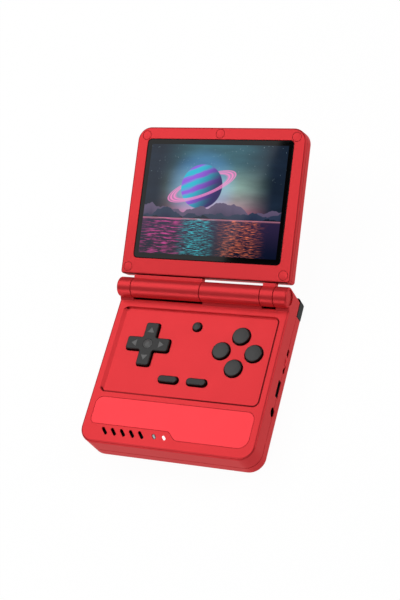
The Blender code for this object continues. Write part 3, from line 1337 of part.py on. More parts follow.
def main():
    """Build the console."""
    clear_scene()
    builder = Builder()
    build_top_case(builder)
    build_bottom_case(builder)
    build_battery(builder)
    build_case_screws(builder)
    build_board(builder)
    build_keypads(builder)
    build_front_details(builder)
    build_buttons(builder)
    build_dpad(builder)
    build_sockets(builder)
    build_wheel(builder)
    build_slider(builder)
    build_shoulder_buttons(builder)
    build_hinge(builder)
    hinge = builder.empty("lid_hinge", (0, AXIS_Y, AXIS_Z), (LEAN, 0, 0))
    build_lid(builder, hinge)
    build_screen(builder, hinge)


if __name__ == "__main__":
    main()
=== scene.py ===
"""Looks of a clamshell handheld console that stands open, for rendering and export.

Metres, +Z up, in the frame of the CAD model: the origin is the middle of the base's
underside, +Y runs towards the hinge and +X is the side with the sockets. Each class
builds one sub-assembly, dresses it and hangs it on the bodies that move it.
"""

import logging
import math
from dataclasses import dataclass
from enum import Enum
from typing import Callable, Iterable, Sequence

import bmesh
import bpy
from mathutils import Matrix, Vector


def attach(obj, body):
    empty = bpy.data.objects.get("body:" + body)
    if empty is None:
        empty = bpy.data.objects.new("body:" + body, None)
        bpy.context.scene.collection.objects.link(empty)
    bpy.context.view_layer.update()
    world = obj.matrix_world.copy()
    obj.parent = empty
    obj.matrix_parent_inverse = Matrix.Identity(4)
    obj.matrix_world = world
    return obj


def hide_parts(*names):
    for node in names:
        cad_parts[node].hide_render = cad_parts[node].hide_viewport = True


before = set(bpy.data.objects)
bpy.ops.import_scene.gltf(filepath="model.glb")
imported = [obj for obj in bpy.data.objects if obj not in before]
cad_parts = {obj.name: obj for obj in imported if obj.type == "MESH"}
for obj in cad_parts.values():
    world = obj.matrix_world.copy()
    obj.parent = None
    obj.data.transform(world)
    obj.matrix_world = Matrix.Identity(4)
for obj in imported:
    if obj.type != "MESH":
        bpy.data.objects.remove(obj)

log = logging.getLogger("console")

Point2 = tuple[float, float]
Point3 = tuple[float, float, float]
Outline = list[Point2]
OutlineMaker = Callable[[float], Outline]
Colour = tuple[float, float, float, float]

ARC_STEP = math.radians(6)
SMALL_ARC_STEP = math.radians(15)
COARSE_ARC_STEP = math.radians(30)
EDGE_STEPS = 6
WIDE_EDGE_STEPS = 10
RIM_STEPS = 3
RIM_TURN = math.radians(72)
SMALLEST_RADIUS = 0.00002
MERGE_DISTANCE = 0.000001
# How much painted shade darkens the shell's inside, its openings and the troughs.
OPENING_SHADE = 0.97
OVERRUN = 0.0010
SOFT_EDGE = 0.00015
SHARP_ANGLE = math.radians(50)
FACING_UP = 0.9
ROUND_SIDES = 96
SMALL_SIDES = 40


class Body(str, Enum):
    """The bodies that pieces ride on."""

    BASE = "base"
    LID = "lid"
    PAD = "direction_pad"
    A = "a_key"
    B = "b_key"
    X = "x_key"
    Y = "y_key"
    MENU = "menu_key"
    SELECT = "select_key"
    START = "start_key"
    LEFT_SHOULDER = "left_shoulder"
    RIGHT_SHOULDER = "right_shoulder"
    WHEEL = "wheel"
    SLIDER = "slider"


class Slot(str, Enum):
    """The record's material slots, named for the modelled pieces."""

    SHELL = "red_shell"
    PANEL = "accent_panel"
    BUTTON = "button_grey"
    BLACK = "black_plastic"
    GLASS = "screen_glass"
    LENS = "lamp_lens"
    STEEL = "steel"


@dataclass(frozen=True)
class Sizes:
    """Sizes and places that several sub-assemblies share, the same as the CAD model's."""

    width: float = 0.0820
    depth: float = 0.0784
    height: float = 0.0158
    parting: float = 0.0063
    wall: float = 0.0016
    gap: float = 0.0003
    button_gap: float = 0.0004
    floor: float = 0.0024
    front_corner: float = 0.0070
    rear_corner: float = 0.0010
    top_edge: float = 0.0009
    bottom_edge: float = 0.0018
    recess_top: float = 0.0144
    ceiling: float = 0.0132
    recess_side: float = 0.0378
    recess_corner: float = 0.0028
    recess_front: float = -0.0155
    recess_rear: float = 0.0264
    control_y: float = 0.0090
    dpad_x: float = -0.0210
    buttons_x: float = 0.0218
    menu_y: float = 0.0194
    pill_y: float = -0.0067
    pill_x: float = 0.0068
    control_top: float = 0.0159
    button_radius: float = 0.0039
    button_spread: float = 0.0076
    button_crown: float = 0.00022
    menu_radius: float = 0.00195
    pill_length: float = 0.0092
    pill_width: float = 0.0031
    pill_steps: int = 28
    pad_span: float = 0.0206
    pad_arm: float = 0.0062
    pad_corner: float = 0.0011
    pad_inner_corner: float = 0.0009
    flange_top: float = 0.0129
    flange_low: float = 0.0121
    axis_y: float = 0.0347
    axis_z: float = 0.0186
    hinge_radius: float = 0.0045
    socket_height: float = 0.0070
    speaker_y: float = -0.0335
    post_x: float = 0.0354
    post_rows: tuple[float, float] = (-0.0330, 0.0220)
    lid_near: float = 0.0059
    lid_far: float = 0.0739
    lid_face: float = 0.0022
    lid_corner: float = 0.0063
    lid_back: float = -0.0044
    picture: tuple[float, float, float] = (0.0334, 0.0157, 0.0660)
    lean: float = math.pi - math.radians(161.2)
    seams: tuple[float, float, float, float] = (-0.0340, 0.0, 0.0285, 0.0347)

    @property
    def half(self) -> float:
        """Half the width."""
        return self.width / 2

    @property
    def front(self) -> float:
        """Y of the front wall."""
        return -self.depth / 2

    @property
    def rear(self) -> float:
        """Y of the rear wall."""
        return self.depth / 2

    @property
    def seam(self) -> float:
        """Half the gap between two pieces."""
        return self.gap / 2

    @property
    def posts(self) -> list[Point2]:
        """Places of the screw posts in the base."""
        return [(x, y) for x in (-self.post_x, self.post_x) for y in self.post_rows]

    def lid_matrix(self) -> Matrix:
        """The lid's own axes, from the hinge axis, turned to the open lid."""
        return Matrix.Translation((0, self.axis_y, self.axis_z)) @ Matrix.Rotation(self.lean, 4, "X")


SIZES = Sizes()


# Outlines


def arc(centre: Point2, radius: float, first: float, last: float, step: float = ARC_STEP) -> Outline:
    """Points on an arc.

    Args:
        centre: Middle of the arc.
        radius: Its radius.
        first: Angle of the first point.
        last: Angle of the last point.
        step: Largest angle between two points.

    Returns:
        The points, both ends included.
    """
    count = max(1, math.ceil(abs(last - first) / step - 0.001))
    angles = [first + (last - first) * part / count for part in range(count + 1)]
    return [(centre[0] + radius * math.cos(a), centre[1] + radius * math.sin(a)) for a in angles]


def rounded(corners: Sequence[Point3], step: float = ARC_STEP) -> Outline:
    """A closed outline whose corners are turned by arcs.

    Args:
        corners: X, Y and radius of each corner, counterclockwise.
        step: Largest angle between two points of an arc.

    Returns:
        The outline. The number of its points doesn't depend on the radii.
    """
    points: Outline = []
    for index, (x, y, radius) in enumerate(corners):
        here = Vector((x, y))
        before = Vector(corners[index - 1][:2]) - here
        after = Vector(corners[(index + 1) % len(corners)][:2]) - here
        half = before.angle(after) / 2
        reach = min(max(radius, SMALLEST_RADIUS) / math.tan(half), before.length / 2, after.length / 2)
        fillet = reach * math.tan(half)
        middle = (before.normalized() + after.normalized()).normalized()
        centre = here + middle * fillet / math.sin(half)
        start = here + before.normalized() * reach - centre
        turn = math.copysign(math.pi - 2 * half, after.cross(before))
        count = max(1, round(abs(turn) / step))
        for part in range(count + 1):
            points.append(tuple(centre + Matrix.Rotation(turn * part / count, 2) @ start))
    return points


def rectangle(
    left: float, right: float, front: float, rear: float, radius: float, rear_radius: float | None = None
) -> Outline:
    """A rectangle with rounded corners, the rear ones of their own radius if one is given."""
    back = radius if rear_radius is None else rear_radius
    return rounded(((left, front, radius), (right, front, radius), (right, rear, back), (left, rear, back)))


def stadium(x: float, y: float, length: float, width: float, angle: float = 0.0, steps: int = 16) -> Outline:
    """A slot with round ends, turned about its middle.

    Args:
        x: Middle.
        y: Middle.
        length: Length over both ends.
        width: Width.
        angle: Turn from X.
        steps: Facets of each round end.

    Returns:
        The outline.
    """
    reach = (length - width) / 2
    turn = Matrix.Rotation(angle, 2)
    first = arc((reach, 0.0), width / 2, -math.pi / 2, math.pi / 2, math.pi / steps)
    second = arc((-reach, 0.0), width / 2, math.pi / 2, 3 * math.pi / 2, math.pi / steps)
    return [tuple(turn @ Vector(point) + Vector((x, y))) for point in first + second]


def circle(x: float, y: float, radius: float, sides: int = SMALL_SIDES) -> Outline:
    """A circle as a closed outline."""
    turns = [2 * math.pi * part / sides for part in range(sides)]
    return [(x + radius * math.cos(a), y + radius * math.sin(a)) for a in turns]


def round_hole(x: float, y: float, radius: float, sides: int = ROUND_SIDES) -> OutlineMaker:
    """Makes a circle from how far it is drawn in."""
    return lambda inset: circle(x, y, radius - inset, sides)


def long_hole(
    x: float, y: float, length: float, width: float, angle: float = 0.0, steps: int = 16
) -> OutlineMaker:
    """Makes a slot with round ends from how far it is drawn in."""
    return lambda inset: stadium(x, y, length - 2 * inset, width - 2 * inset, angle, steps)


def grown(outline: OutlineMaker, gap: float) -> OutlineMaker:
    """The same outline with a gap round it."""
    return lambda inset: outline(inset - gap)


def quarter(steps: int = EDGE_STEPS) -> list[float]:
    """Angles from nothing to a right angle."""
    return [math.pi / 2 * part / steps for part in range(steps + 1)]


def cross(x: float, y: float, span: float, arm: float, outer: float, inner: float) -> Outline:
    """A plus sign with rounded corners.

    Args:
        x: Centre.
        y: Centre.
        span: Length over both arms.
        arm: Width of an arm.
        outer: Radius of the outer corners.
        inner: Radius of the corners between the arms.

    Returns:
        The outline.
    """
    far, near = span / 2, arm / 2
    corners = (
        (near, -far, outer), (near, -near, inner), (far, -near, outer), (far, near, outer),
        (near, near, inner), (near, far, outer), (-near, far, outer), (-near, near, inner),
        (-far, near, outer), (-far, -near, outer), (-near, -near, inner), (-near, -far, outer),
    )
    return rounded([(x + u, y + v, radius) for u, v, radius in corners], SMALL_ARC_STEP)


# Solids


def skin(bm: bmesh.types.BMesh, rings: Sequence[Sequence[bmesh.types.BMVert]], closed: bool = True) -> None:
    """Make the faces between neighbouring rings of points.

    Args:
        bm: Where the faces go.
        rings: Rings with the same number of points.
        closed: Whether the last point of a ring joins its first one.
    """
    for one, two in zip(rings, rings[1:]):
        for index in range(len(one) if closed else len(one) - 1):
            after = (index + 1) % len(one)
            bm.faces.new((one[index], one[after], two[after], two[index]))


class Shape:
    """A closed surface under construction."""

    def __init__(self, bm: bmesh.types.BMesh) -> None:
        """Take over a bmesh."""
        self.bm = bm

    @classmethod
    def lofted(cls, rings: Sequence[Sequence[Point3]]) -> "Shape":
        """A solid through closed rings, capped at both ends.

        Args:
            rings: Rings with the same number of points.

        Returns:
            The solid.
        """
        bm = bmesh.new()
        loops = [[bm.verts.new(point) for point in ring] for ring in rings]
        skin(bm, loops)
        bm.faces.new(loops[0][::-1])
        bm.faces.new(loops[-1])
        return cls(bm).outward()

    @classmethod
    def moulded(
        cls,
        outline: OutlineMaker,
        low: float,
        high: float,
        low_edge: float = 0.0,
        high_edge: float = 0.0,
        steps: int = EDGE_STEPS,
    ) -> "Shape":
        """A body with rounded lower and upper edges.

        Args:
            outline: Makes the outline from how far the wall is drawn in.
            low: Height of the underside.
            high: Height of the top.
            low_edge: Radius of the lower edge.
            high_edge: Radius of the upper edge.
            steps: Facets of a rounded edge.

        Returns:
            The solid.
        """
        levels: list[list[Point2]] = []
        for radius, base, way in ((low_edge, low, 1), (high_edge, high, -1)):
            turns = quarter(steps) if radius else [math.pi / 2]
            levels.append(
                [(base + way * radius * (1 - math.cos(a)), radius * (1 - math.sin(a))) for a in turns]
            )
        return cls.stacked(outline, levels[0] + levels[1][::-1])

    @classmethod
    def stacked(cls, outline: OutlineMaker, levels: Sequence[Point2]) -> "Shape":
        """A solid whose outline is drawn in by the given inset at each height."""
        return cls.lofted([[(x, y, z) for x, y in outline(inset)] for z, inset in levels])

    @classmethod
    def pocket(
        cls, outline: OutlineMaker, floor: float, surface: float, rim: float = SOFT_EDGE, foot: float = 0.0
    ) -> "Shape":
        """A cutter for a pocket with a soft rim and, if asked for, a rounded foot.

        Args:
            outline: Makes the pocket's outline from how far it is drawn in.
            floor: Height of the pocket's floor.
            surface: Height of the surface that it is cut into.
            rim: Radius of the rim.
            foot: Radius where the wall meets the floor.

        Returns:
            The cutter, a little taller than the surface.
        """
        turns = quarter() if foot else [math.pi / 2]
        levels = [(floor + foot * (1 - math.cos(a)), foot * (1 - math.sin(a))) for a in turns]
        for part in range(RIM_STEPS + 1):
            a = RIM_TURN * part / RIM_STEPS
            levels.append((surface - rim + rim * math.sin(a), -rim * (1 - math.cos(a))))
        height, inset = levels[-1]
        levels.append((height + rim / 2 * math.cos(RIM_TURN), inset - rim / 2 * math.sin(RIM_TURN)))
        return cls.stacked(outline, levels)

    @classmethod
    def prism(cls, outline: Outline, low: float, high: float) -> "Shape":
        """An outline given thickness."""
        return cls.lofted([[(x, y, z) for x, y in outline] for z in (low, high)])

    @classmethod
    def block(cls, left: float, right: float, front: float, rear: float, low: float, high: float) -> "Shape":
        """A box between six planes, for use as a cutter."""
        return cls.prism([(left, front), (right, front), (right, rear), (left, rear)], low, high)

    @classmethod
    def turned(cls, profile: Sequence[Point2], sides: int = ROUND_SIDES) -> "Shape":
        """A solid turned about Z.

        Args:
            profile: Radius and height of each point, both ends on the axis.
            sides: Facets round the axis.

        Returns:
            The solid.
        """
        bm = bmesh.new()
        rings: list[list[bmesh.types.BMVert]] = []
        for radius, height in profile:
            ring = [(0.0, 0.0)] if radius < SMALLEST_RADIUS else circle(0, 0, radius, sides)
            rings.append([bm.verts.new((x, y, height)) for x, y in ring])
        for one, two in zip(rings, rings[1:]):
            for first in range(sides):
                spots = ((one, first), (two, first), (two, first + 1), (one, first + 1))
                corners = tuple(dict.fromkeys(ring[index % len(ring)] for ring, index in spots))
                if len(corners) > 2:
                    bm.faces.new(corners)
        return cls(bm).outward()

    @classmethod
    def combined(cls, shapes: Iterable["Shape"]) -> "Shape":
        """Several separate shapes as one.

        Args:
            shapes: The shapes, used up here.

        Returns:
            All of them.
        """
        bm = bmesh.new()
        for shape in shapes:
            bm.from_mesh(shape.mesh("part"))
        return cls(bm)

    def outward(self) -> "Shape":
        """Merge doubled points and turn all faces outward.

        Returns:
            The shape itself.
        """
        bmesh.ops.remove_doubles(self.bm, verts=self.bm.verts, dist=MERGE_DISTANCE)
        bmesh.ops.dissolve_degenerate(self.bm, edges=self.bm.edges, dist=MERGE_DISTANCE)
        bmesh.ops.recalc_face_normals(self.bm, faces=self.bm.faces)
        return self

    def moved(self, matrix: Matrix) -> "Shape":
        """Turn, move or mirror the shape.

        Args:
            matrix: How.

        Returns:
            The shape itself.
        """
        bmesh.ops.transform(self.bm, matrix=matrix, verts=self.bm.verts)
        if matrix.determinant() < 0:
            bmesh.ops.reverse_faces(self.bm, faces=self.bm.faces)
        return self

    def at(self, x: float, y: float, z: float = 0.0) -> "Shape":
        """The shape moved to a place."""
        return self.moved(Matrix.Translation((x, y, z)))

    def along_x(self) -> "Shape":
        """The shape turned so that X and Y lie in Y and Z, and its height runs along X."""
        return self.moved(Matrix(((0, 0, 1, 0), (1, 0, 0, 0), (0, 1, 0, 0), (0, 0, 0, 1))))

    def along_y(self) -> "Shape":
        """The shape turned so that X and Y lie in Z and X, and its height runs along Y."""
        return self.moved(Matrix(((0, 1, 0, 0), (0, 0, 1, 0), (1, 0, 0, 0), (0, 0, 0, 1))))

    def flipped(self) -> "Shape":
        """The shape on the other side of the middle plane."""
        return self.moved(Matrix.Diagonal((-1, 1, 1, 1)))

    def upturned(self) -> "Shape":
        """The shape with its top and underside swapped."""
        return self.moved(Matrix.Diagonal((1, 1, -1, 1)))

    def mirrored(self) -> "Shape":
        """A copy on the other side of the middle plane."""
        return Shape(self.bm.copy()).flipped()

    def mesh(self, name: str) -> bpy.types.Mesh:
        """Turn the shape into a mesh and free it.

        Args:
            name: The mesh's name.

        Returns:
            The mesh.
        """
        mesh = bpy.data.meshes.new(name)
        self.bm.to_mesh(mesh)
        self.bm.free()
        return mesh

    def _changed(self, tool: "Shape", operation: str) -> "Shape":
        """The result of a Boolean with another shape, both used up.

        Args:
            tool: The other shape.
            operation: The Boolean modifier's operation.

        Returns:
            The result.
        """
        things = []
        for name, shape in (("target", self), ("tool", tool)):
            thing = bpy.data.objects.new(name, shape.mesh(name))
            bpy.context.scene.collection.objects.link(thing)
            things.append(thing)
        change = things[0].modifiers.new("change", "BOOLEAN")
        change.operation = operation
        change.solver = "EXACT"
        change.object = things[1]
        return Shape.evaluated(things[0], things)

    @classmethod
    def evaluated(cls, thing: bpy.types.Object, scratch: Sequence[bpy.types.Object]) -> "Shape":
        """What an object's modifiers make of it.

        Args:
            thing: The object.
            scratch: Objects that have done their work and are removed.

        Returns:
            The result.
        """
        graph = bpy.context.evaluated_depsgraph_get()
        result = bpy.data.meshes.new_from_object(thing.evaluated_get(graph))
        bm = bmesh.new()
        bm.from_mesh(result)
        meshes = [done.data for done in scratch] + [result]
        thing.modifiers.clear()
        for done in scratch:
            bpy.data.objects.remove(done)
        for mesh in meshes:
            bpy.data.meshes.remove(mesh)
        return cls(bm)

    def cut(self, *tools: "Shape") -> "Shape":
        """Remove other shapes that don't meet one another."""
        return self._changed(Shape.combined(tools), "DIFFERENCE")

    def join(self, *tools: "Shape") -> "Shape":
        """Add other shapes that don't meet one another."""
        return self._changed(Shape.combined(tools), "UNION")


def soft_cylinder(radius: float, low: float, high: float, edge: float, sides: int = ROUND_SIDES) -> Shape:
    """An upright cylinder with rounded rims.

    Args:
        radius: Its radius.
        low: Height of its underside.
        high: Height of its top.
        edge: Radius of the rims.
        sides: Facets round it.

    Returns:
        The cylinder.
    """
    foot = [(radius - edge + edge * math.sin(a), low + edge - edge * math.cos(a)) for a in quarter()]
    head = [(radius - edge + edge * math.cos(a), high - edge + edge * math.sin(a)) for a in quarter()]
    return Shape.turned([(0.0, low)] + foot + head + [(0.0, high)], sides)


def plain_cylinder(radius: float, low: float, high: float, x: float = 0.0, y: float = 0.0) -> Shape:
    """An upright cylinder, for use as a cutter or hidden inner part."""
    return Shape.prism(circle(x, y, radius), low, high)


def dome(radius: float, rise: float, steps: int = 10) -> list[Point2]:
    """Half profile of a ball's cap.

    Args:
        radius: Radius of the cap's foot.
        rise: Height of its top over its foot.
        steps: Number of facets.

    Returns:
        Radius and height of each point from the top outwards.
    """
    ball = (radius**2 + rise**2) / (2 * rise)
    across = [radius * part / steps for part in range(steps + 1)]
    return [(reach, rise - ball + math.sqrt(ball**2 - reach**2)) for reach in across]


# Shader maths


class Value:
    """A socket in a node tree, with arithmetic that adds Math nodes."""

    def __init__(self, tree: "Sheet", socket: bpy.types.NodeSocket) -> None:
        """Hold a socket and the tree it is in."""
        self.tree = tree
        self.socket = socket

    def _math(self, operation: str, *values: "Value | float") -> "Value":
        """A Math node over the given values."""
        made = self.tree.node("ShaderNodeMath", {"operation": operation}, dict(enumerate(values)))
        return Value(self.tree, made.outputs[0])

    def __add__(self, other: "Value | float") -> "Value":
        """Sum."""
        return self._math("ADD", self, other)

    __radd__ = __add__

    def __sub__(self, other: "Value | float") -> "Value":
        """Difference."""
        return self._math("SUBTRACT", self, other)

    def __rsub__(self, other: float) -> "Value":
        """Difference from a number."""
        return self._math("SUBTRACT", other, self)

    def __mul__(self, other: "Value | float") -> "Value":
        """Product."""
        return self._math("MULTIPLY", self, other)

    __rmul__ = __mul__

    def __pow__(self, other: "Value | float") -> "Value":
        """Power."""
        return self._math("POWER", self, other)

    def __neg__(self) -> "Value":
        """The value with its sign turned."""
        return self._math("MULTIPLY", self, -1.0)

    def __abs__(self) -> "Value":
        """Size without sign."""
        return self._math("ABSOLUTE", self)

    def __lt__(self, other: "Value | float") -> "Value":
        """1 where the value is smaller, else 0."""
        return self._math("LESS_THAN", self, other)

    def __gt__(self, other: "Value | float") -> "Value":
        """1 where the value is greater, else 0."""
        return self._math("GREATER_THAN", self, other)

    def sine(self) -> "Value":
        """Sine."""
        return self._math("SINE", self)

    def root(self) -> "Value":
        """Square root."""
        return self._math("SQRT", self)

    def least(self, other: "Value | float") -> "Value":
        """The smaller of two."""
        return self._math("MINIMUM", self, other)

    def most(self, other: "Value | float") -> "Value":
        """The greater of two."""
        return self._math("MAXIMUM", self, other)

    def ramp(self, low: float, high: float) -> "Value":
        """A soft step between two values.

        Args:
            low: Where the step is 0.
            high: Where it is 1. It may be the smaller one.

        Returns:
            The step.
        """
        if low > high:
            return 1.0 - self.ramp(high, low)
        values = {"Value": self, "From Min": low, "From Max": high}
        made = self.tree.node("ShaderNodeMapRange", {"interpolation_type": "SMOOTHSTEP"}, values)
        return Value(self.tree, made.outputs["Result"])

    def __getattr__(self, axis: str) -> "Value":
        """A vector's x, y or z.

        Args:
            axis: Its name.

        Returns:
            That part of the vector.

        Raises:
            AttributeError: If the name is another one.
        """
        if axis not in ("x", "y", "z"):
            raise AttributeError(axis)
        made = self.tree.node("ShaderNodeSeparateXYZ", {}, {0: self})
        return Value(self.tree, made.outputs["xyz".index(axis)])


class Sheet:
    """A node tree with one way to add nodes."""

    def __init__(self, tree: bpy.types.NodeTree) -> None:
        """Keep the tree's nodes and links."""
        self.nodes = tree.nodes
        self.links = tree.links

    def node(self, kind: str, settings: dict | None = None, values: dict | None = None) -> bpy.types.Node:
        """Add a node.

        Args:
            kind: The node's type.
            settings: Its own settings, made first.
            values: Numbers, colours or other nodes' values by input name or number.

        Returns:
            The node.
        """
        made = self.nodes.new(kind)
        for name, setting in (settings or {}).items():
            setattr(made, name, setting)
        for name, value in (values or {}).items():
            self.feed(made.inputs[name], value)
        return made

    def feed(self, socket: bpy.types.NodeSocket, value: "Value | float | Sequence[float]") -> None:
        """Link a value into a socket, or set the socket to a constant.

        Args:
            socket: The socket.
            value: The value or constant.
        """
        if isinstance(value, Value):
            self.links.new(value.socket, socket)
        else:
            socket.default_value = value

    def vector(self, x: "Value | float", y: "Value | float", z: "Value | float" = 0.0) -> Value:
        """A vector from three values."""
        return Value(self, self.node("ShaderNodeCombineXYZ", {}, {0: x, 1: y, 2: z}).outputs[0])


class Tree(Sheet):
    """A material's node tree."""

    def __init__(self, name: str) -> None:
        """Start a material with one Principled shader.

        Args:
            name: The material's name.
        """
        self.material = bpy.data.materials.new(name)
        self.material.use_nodes = True
        super().__init__(self.material.node_tree)
        self.shader = self.nodes["Principled BSDF"]

    def surface(self, **values: "Value | float | Sequence[float]") -> None:
        """Set the shader's sockets by name, in which underscores stand for spaces."""
        for name, value in values.items():
            self.feed(self.shader.inputs[name.replace("_", " ")], value)

    def place(self) -> Value:
        """The point in metres, in the piece's own axes."""
        return Value(self, self.node("ShaderNodeTexCoord").outputs["Object"])

    def sheet_place(self) -> Value:
        """The point in the piece's own UV map."""
        return Value(self, self.node("ShaderNodeUVMap").outputs["UV"])

    def noise(self, vector: Value, scale: float, detail: float = 2.0, roughness: float = 0.5) -> Value:
        """Smooth noise from 0 to 1."""
        values = {"Vector": vector, "Scale": scale, "Detail": detail, "Roughness": roughness}
        return Value(self, self.node("ShaderNodeTexNoise", {}, values).outputs[0])

    def cells(self, vector: Value, scale: float) -> Value:
        """Distance to the nearest of scattered points."""
        made = self.node("ShaderNodeTexVoronoi", {}, {"Vector": vector, "Scale": scale})
        return Value(self, made.outputs["Distance"])

    def mix(self, share: "Value | float", first: "Value | Colour", second: "Value | Colour") -> Value:
        """A blend of two colours."""
        made = self.node("ShaderNodeMix", {"data_type": "RGBA"}, {0: share, 6: first, 7: second})
        return Value(self, made.outputs[2])

    def scaled(self, colour: "Value | Colour", amount: "Value | float") -> Value:
        """A colour made lighter or darker.

        Args:
            colour: The colour.
            amount: What it is multiplied by.

        Returns:
            The new colour.
        """
        made = self.node("ShaderNodeVectorMath", {"operation": "SCALE"}, {"Scale": amount})
        if isinstance(colour, Value):
            self.feed(made.inputs[0], colour)
        else:
            made.inputs[0].default_value = colour[:3]
        return Value(self, made.outputs[0])

    def added(self, first: Value, second: Value) -> Value:
        """The sum of two colours."""
        made = self.node("ShaderNodeVectorMath", {"operation": "ADD"}, {0: first, 1: second})
        return Value(self, made.outputs[0])

    def bump(self, height: Value, distance: float, strength: float = 1.0) -> Value:
        """A normal from a height map."""
        made = self.node("ShaderNodeBump", {}, {"Strength": strength, "Distance": distance, "Height": height})
        return Value(self, made.outputs[0])


class Pattern(Sheet):
    """A Geometry Nodes tree that sets one part on many points, with its sizes as named inputs."""

    def __init__(self, name: str, part: Shape, finish: bpy.types.Material, **sizes: float) -> None:
        """Start the tree.

        Args:
            name: The tree's name.
            part: What is repeated, used up here.
            finish: Its material.
            sizes: Named sizes and counts that the tree reads. Underscores stand for spaces.
        """
        self.group = bpy.data.node_groups.new(name, "GeometryNodeTree")
        super().__init__(self.group)
        self.part = bpy.data.objects.new(f"{name}_part", part.mesh(name))
        settings: dict[str, tuple[str, object]] = {
            "Guide": ("NodeSocketGeometry", None),
            "Part": ("NodeSocketObject", self.part),
            "Finish": ("NodeSocketMaterial", finish),
        }
        for label, size in sizes.items():
            kind = "NodeSocketInt" if isinstance(size, int) else "NodeSocketFloat"
            settings[label.replace("_", " ")] = (kind, size)
        self.settings: dict[str, object] = {}
        for label, (kind, setting) in settings.items():
            socket = self.group.interface.new_socket(label, in_out="INPUT", socket_type=kind)
            if setting is not None:
                self.settings[socket.identifier] = setting
        self.group.interface.new_socket("Result", in_out="OUTPUT", socket_type="NodeSocketGeometry")
        self.entry = self.nodes.new("NodeGroupInput")

    def size(self, label: str) -> Value:
        """One of the tree's named inputs."""
        return Value(self, self.entry.outputs[label])

    def first(self, kind: str, settings: dict | None = None, values: dict | None = None) -> Value:
        """Add a node and take its first output."""
        return Value(self, self.node(kind, settings, values).outputs[0])

    def on_spots(self, spots: Sequence[Point3]) -> Shape:
        """The part on each of the given points."""
        return self._realised(self.size("Guide"), {}, spots)

    def on_grid(self) -> Shape:
        """Set the part on a grid of Columns by Rows points, Length by Width in size.

        Returns:
            All the parts as one shape.
        """
        names = {"Vertices X": "Columns", "Vertices Y": "Rows", "Size X": "Length", "Size Y": "Width"}
        values = {socket: self.size(label) for socket, label in names.items()}
        return self._realised(self.first("GeometryNodeMeshGrid", {}, values), {}, ())

    def on_ring(self) -> Shape:
        """Set the part on Count points of a circle of the given Radius, its X axis pointing outwards.

        Returns:
            All the parts as one shape.
        """
        values = {"Vertices": self.size("Count"), "Radius": self.size("Radius")}
        ring = self.first("GeometryNodeMeshCircle", {}, values)
        place = self.first("GeometryNodeInputPosition")
        turn = self.first("FunctionNodeAlignRotationToVector", {"axis": "X"}, {"Vector": place})
        return self._realised(ring, {"Rotation": turn}, ())

    def _realised(self, points: Value, turns: dict, spots: Sequence[Point3]) -> Shape:
        """Finish the tree and turn its result into a plain mesh.

        Args:
            points: Geometry whose points carry the parts.
            turns: The instances' rotation, if they have one.
            spots: Points of the guide mesh.

        Returns:
            All the parts as one shape.
        """
        part = self.node("GeometryNodeObjectInfo", {}, {"Object": self.size("Part")}).outputs["Geometry"]
        values = {"Points": points, "Instance": Value(self, part), **turns}
        many = self.first("GeometryNodeInstanceOnPoints", {}, values)
        real = self.first("GeometryNodeRealizeInstances", {}, {"Geometry": many})
        values = {"Geometry": real, "Material": self.size("Finish")}
        done = self.first("GeometryNodeSetMaterial", {}, values)
        self.feed(self.nodes.new("NodeGroupOutput").inputs["Result"], done)
        guide = bpy.data.meshes.new("guide")
        guide.from_pydata(spots, [], [])
        carrier = bpy.data.objects.new("carrier", guide)
        for thing in (carrier, self.part):
            bpy.context.scene.collection.objects.link(thing)
        repeat = carrier.modifiers.new("repeat", "NODES")
        repeat.node_group = self.group
        for identifier, setting in self.settings.items():
            repeat[identifier] = setting
        return Shape.evaluated(carrier, (carrier, self.part))


def srgb(red: float, green: float, blue: float) -> Colour:
    """A colour from display values.

    Args:
        red: From 0 to 255.
        green: From 0 to 255.
        blue: From 0 to 255.

    Returns:
        The linear colour.
    """
    parts = [value / 255 for value in (red, green, blue)]
    linear = [v / 12.92 if v <= 0.04045 else ((v + 0.055) / 1.055) ** 2.4 for v in parts]
    return (linear[0], linear[1], linear[2], 1.0)


# Finishes


@dataclass(frozen=True)
class Plastic:
    """Moulded plastic with a fine grain and slightly uneven colour."""

    name: str
    colour: Colour
    roughness: float
    grain: float = 0.00030
    grain_height: float = 0.0000035
    unevenness: float = 0.05
    drift_scale: float = 60.0
    patch_scale: float = 90.0
    patch_roughness: float = 0.06
    metallic: float = 0.0
    specular: float = 0.5
    gloss_colour: Colour = (1.0, 1.0, 1.0, 1.0)

    def tone(self, tree: Tree, point: Value) -> Value:
        """The colour at a point.

        Args:
            tree: The material's nodes.
            point: The point.

        Returns:
            The colour.
        """
        drift = tree.noise(point, self.drift_scale, 2.0)
        speck = tree.noise(point, 1.0 / (self.grain * 2), 1.0)
        light = 1.0 + (drift - 0.5) * self.unevenness + (speck - 0.5) * (self.unevenness / 2)
        return tree.scaled(self.colour, light)

    def make(self) -> bpy.types.Material:
        """Build the material.

        Returns:
            The material.
        """
        tree = Tree(self.name)
        point = tree.place()
        grain = tree.noise(point, 1.0 / self.grain, 2.0)
        patch = tree.noise(point, self.patch_scale, 3.0)
        tree.surface(
            Base_Color=self.tone(tree, point),
            Metallic=self.metallic,
            Roughness=self.roughness + (patch - 0.5) * self.patch_roughness,
            Normal=tree.bump(grain, self.grain_height),
            Specular_IOR_Level=self.specular,
            Specular_Tint=self.gloss_colour,
        )
        return tree.material


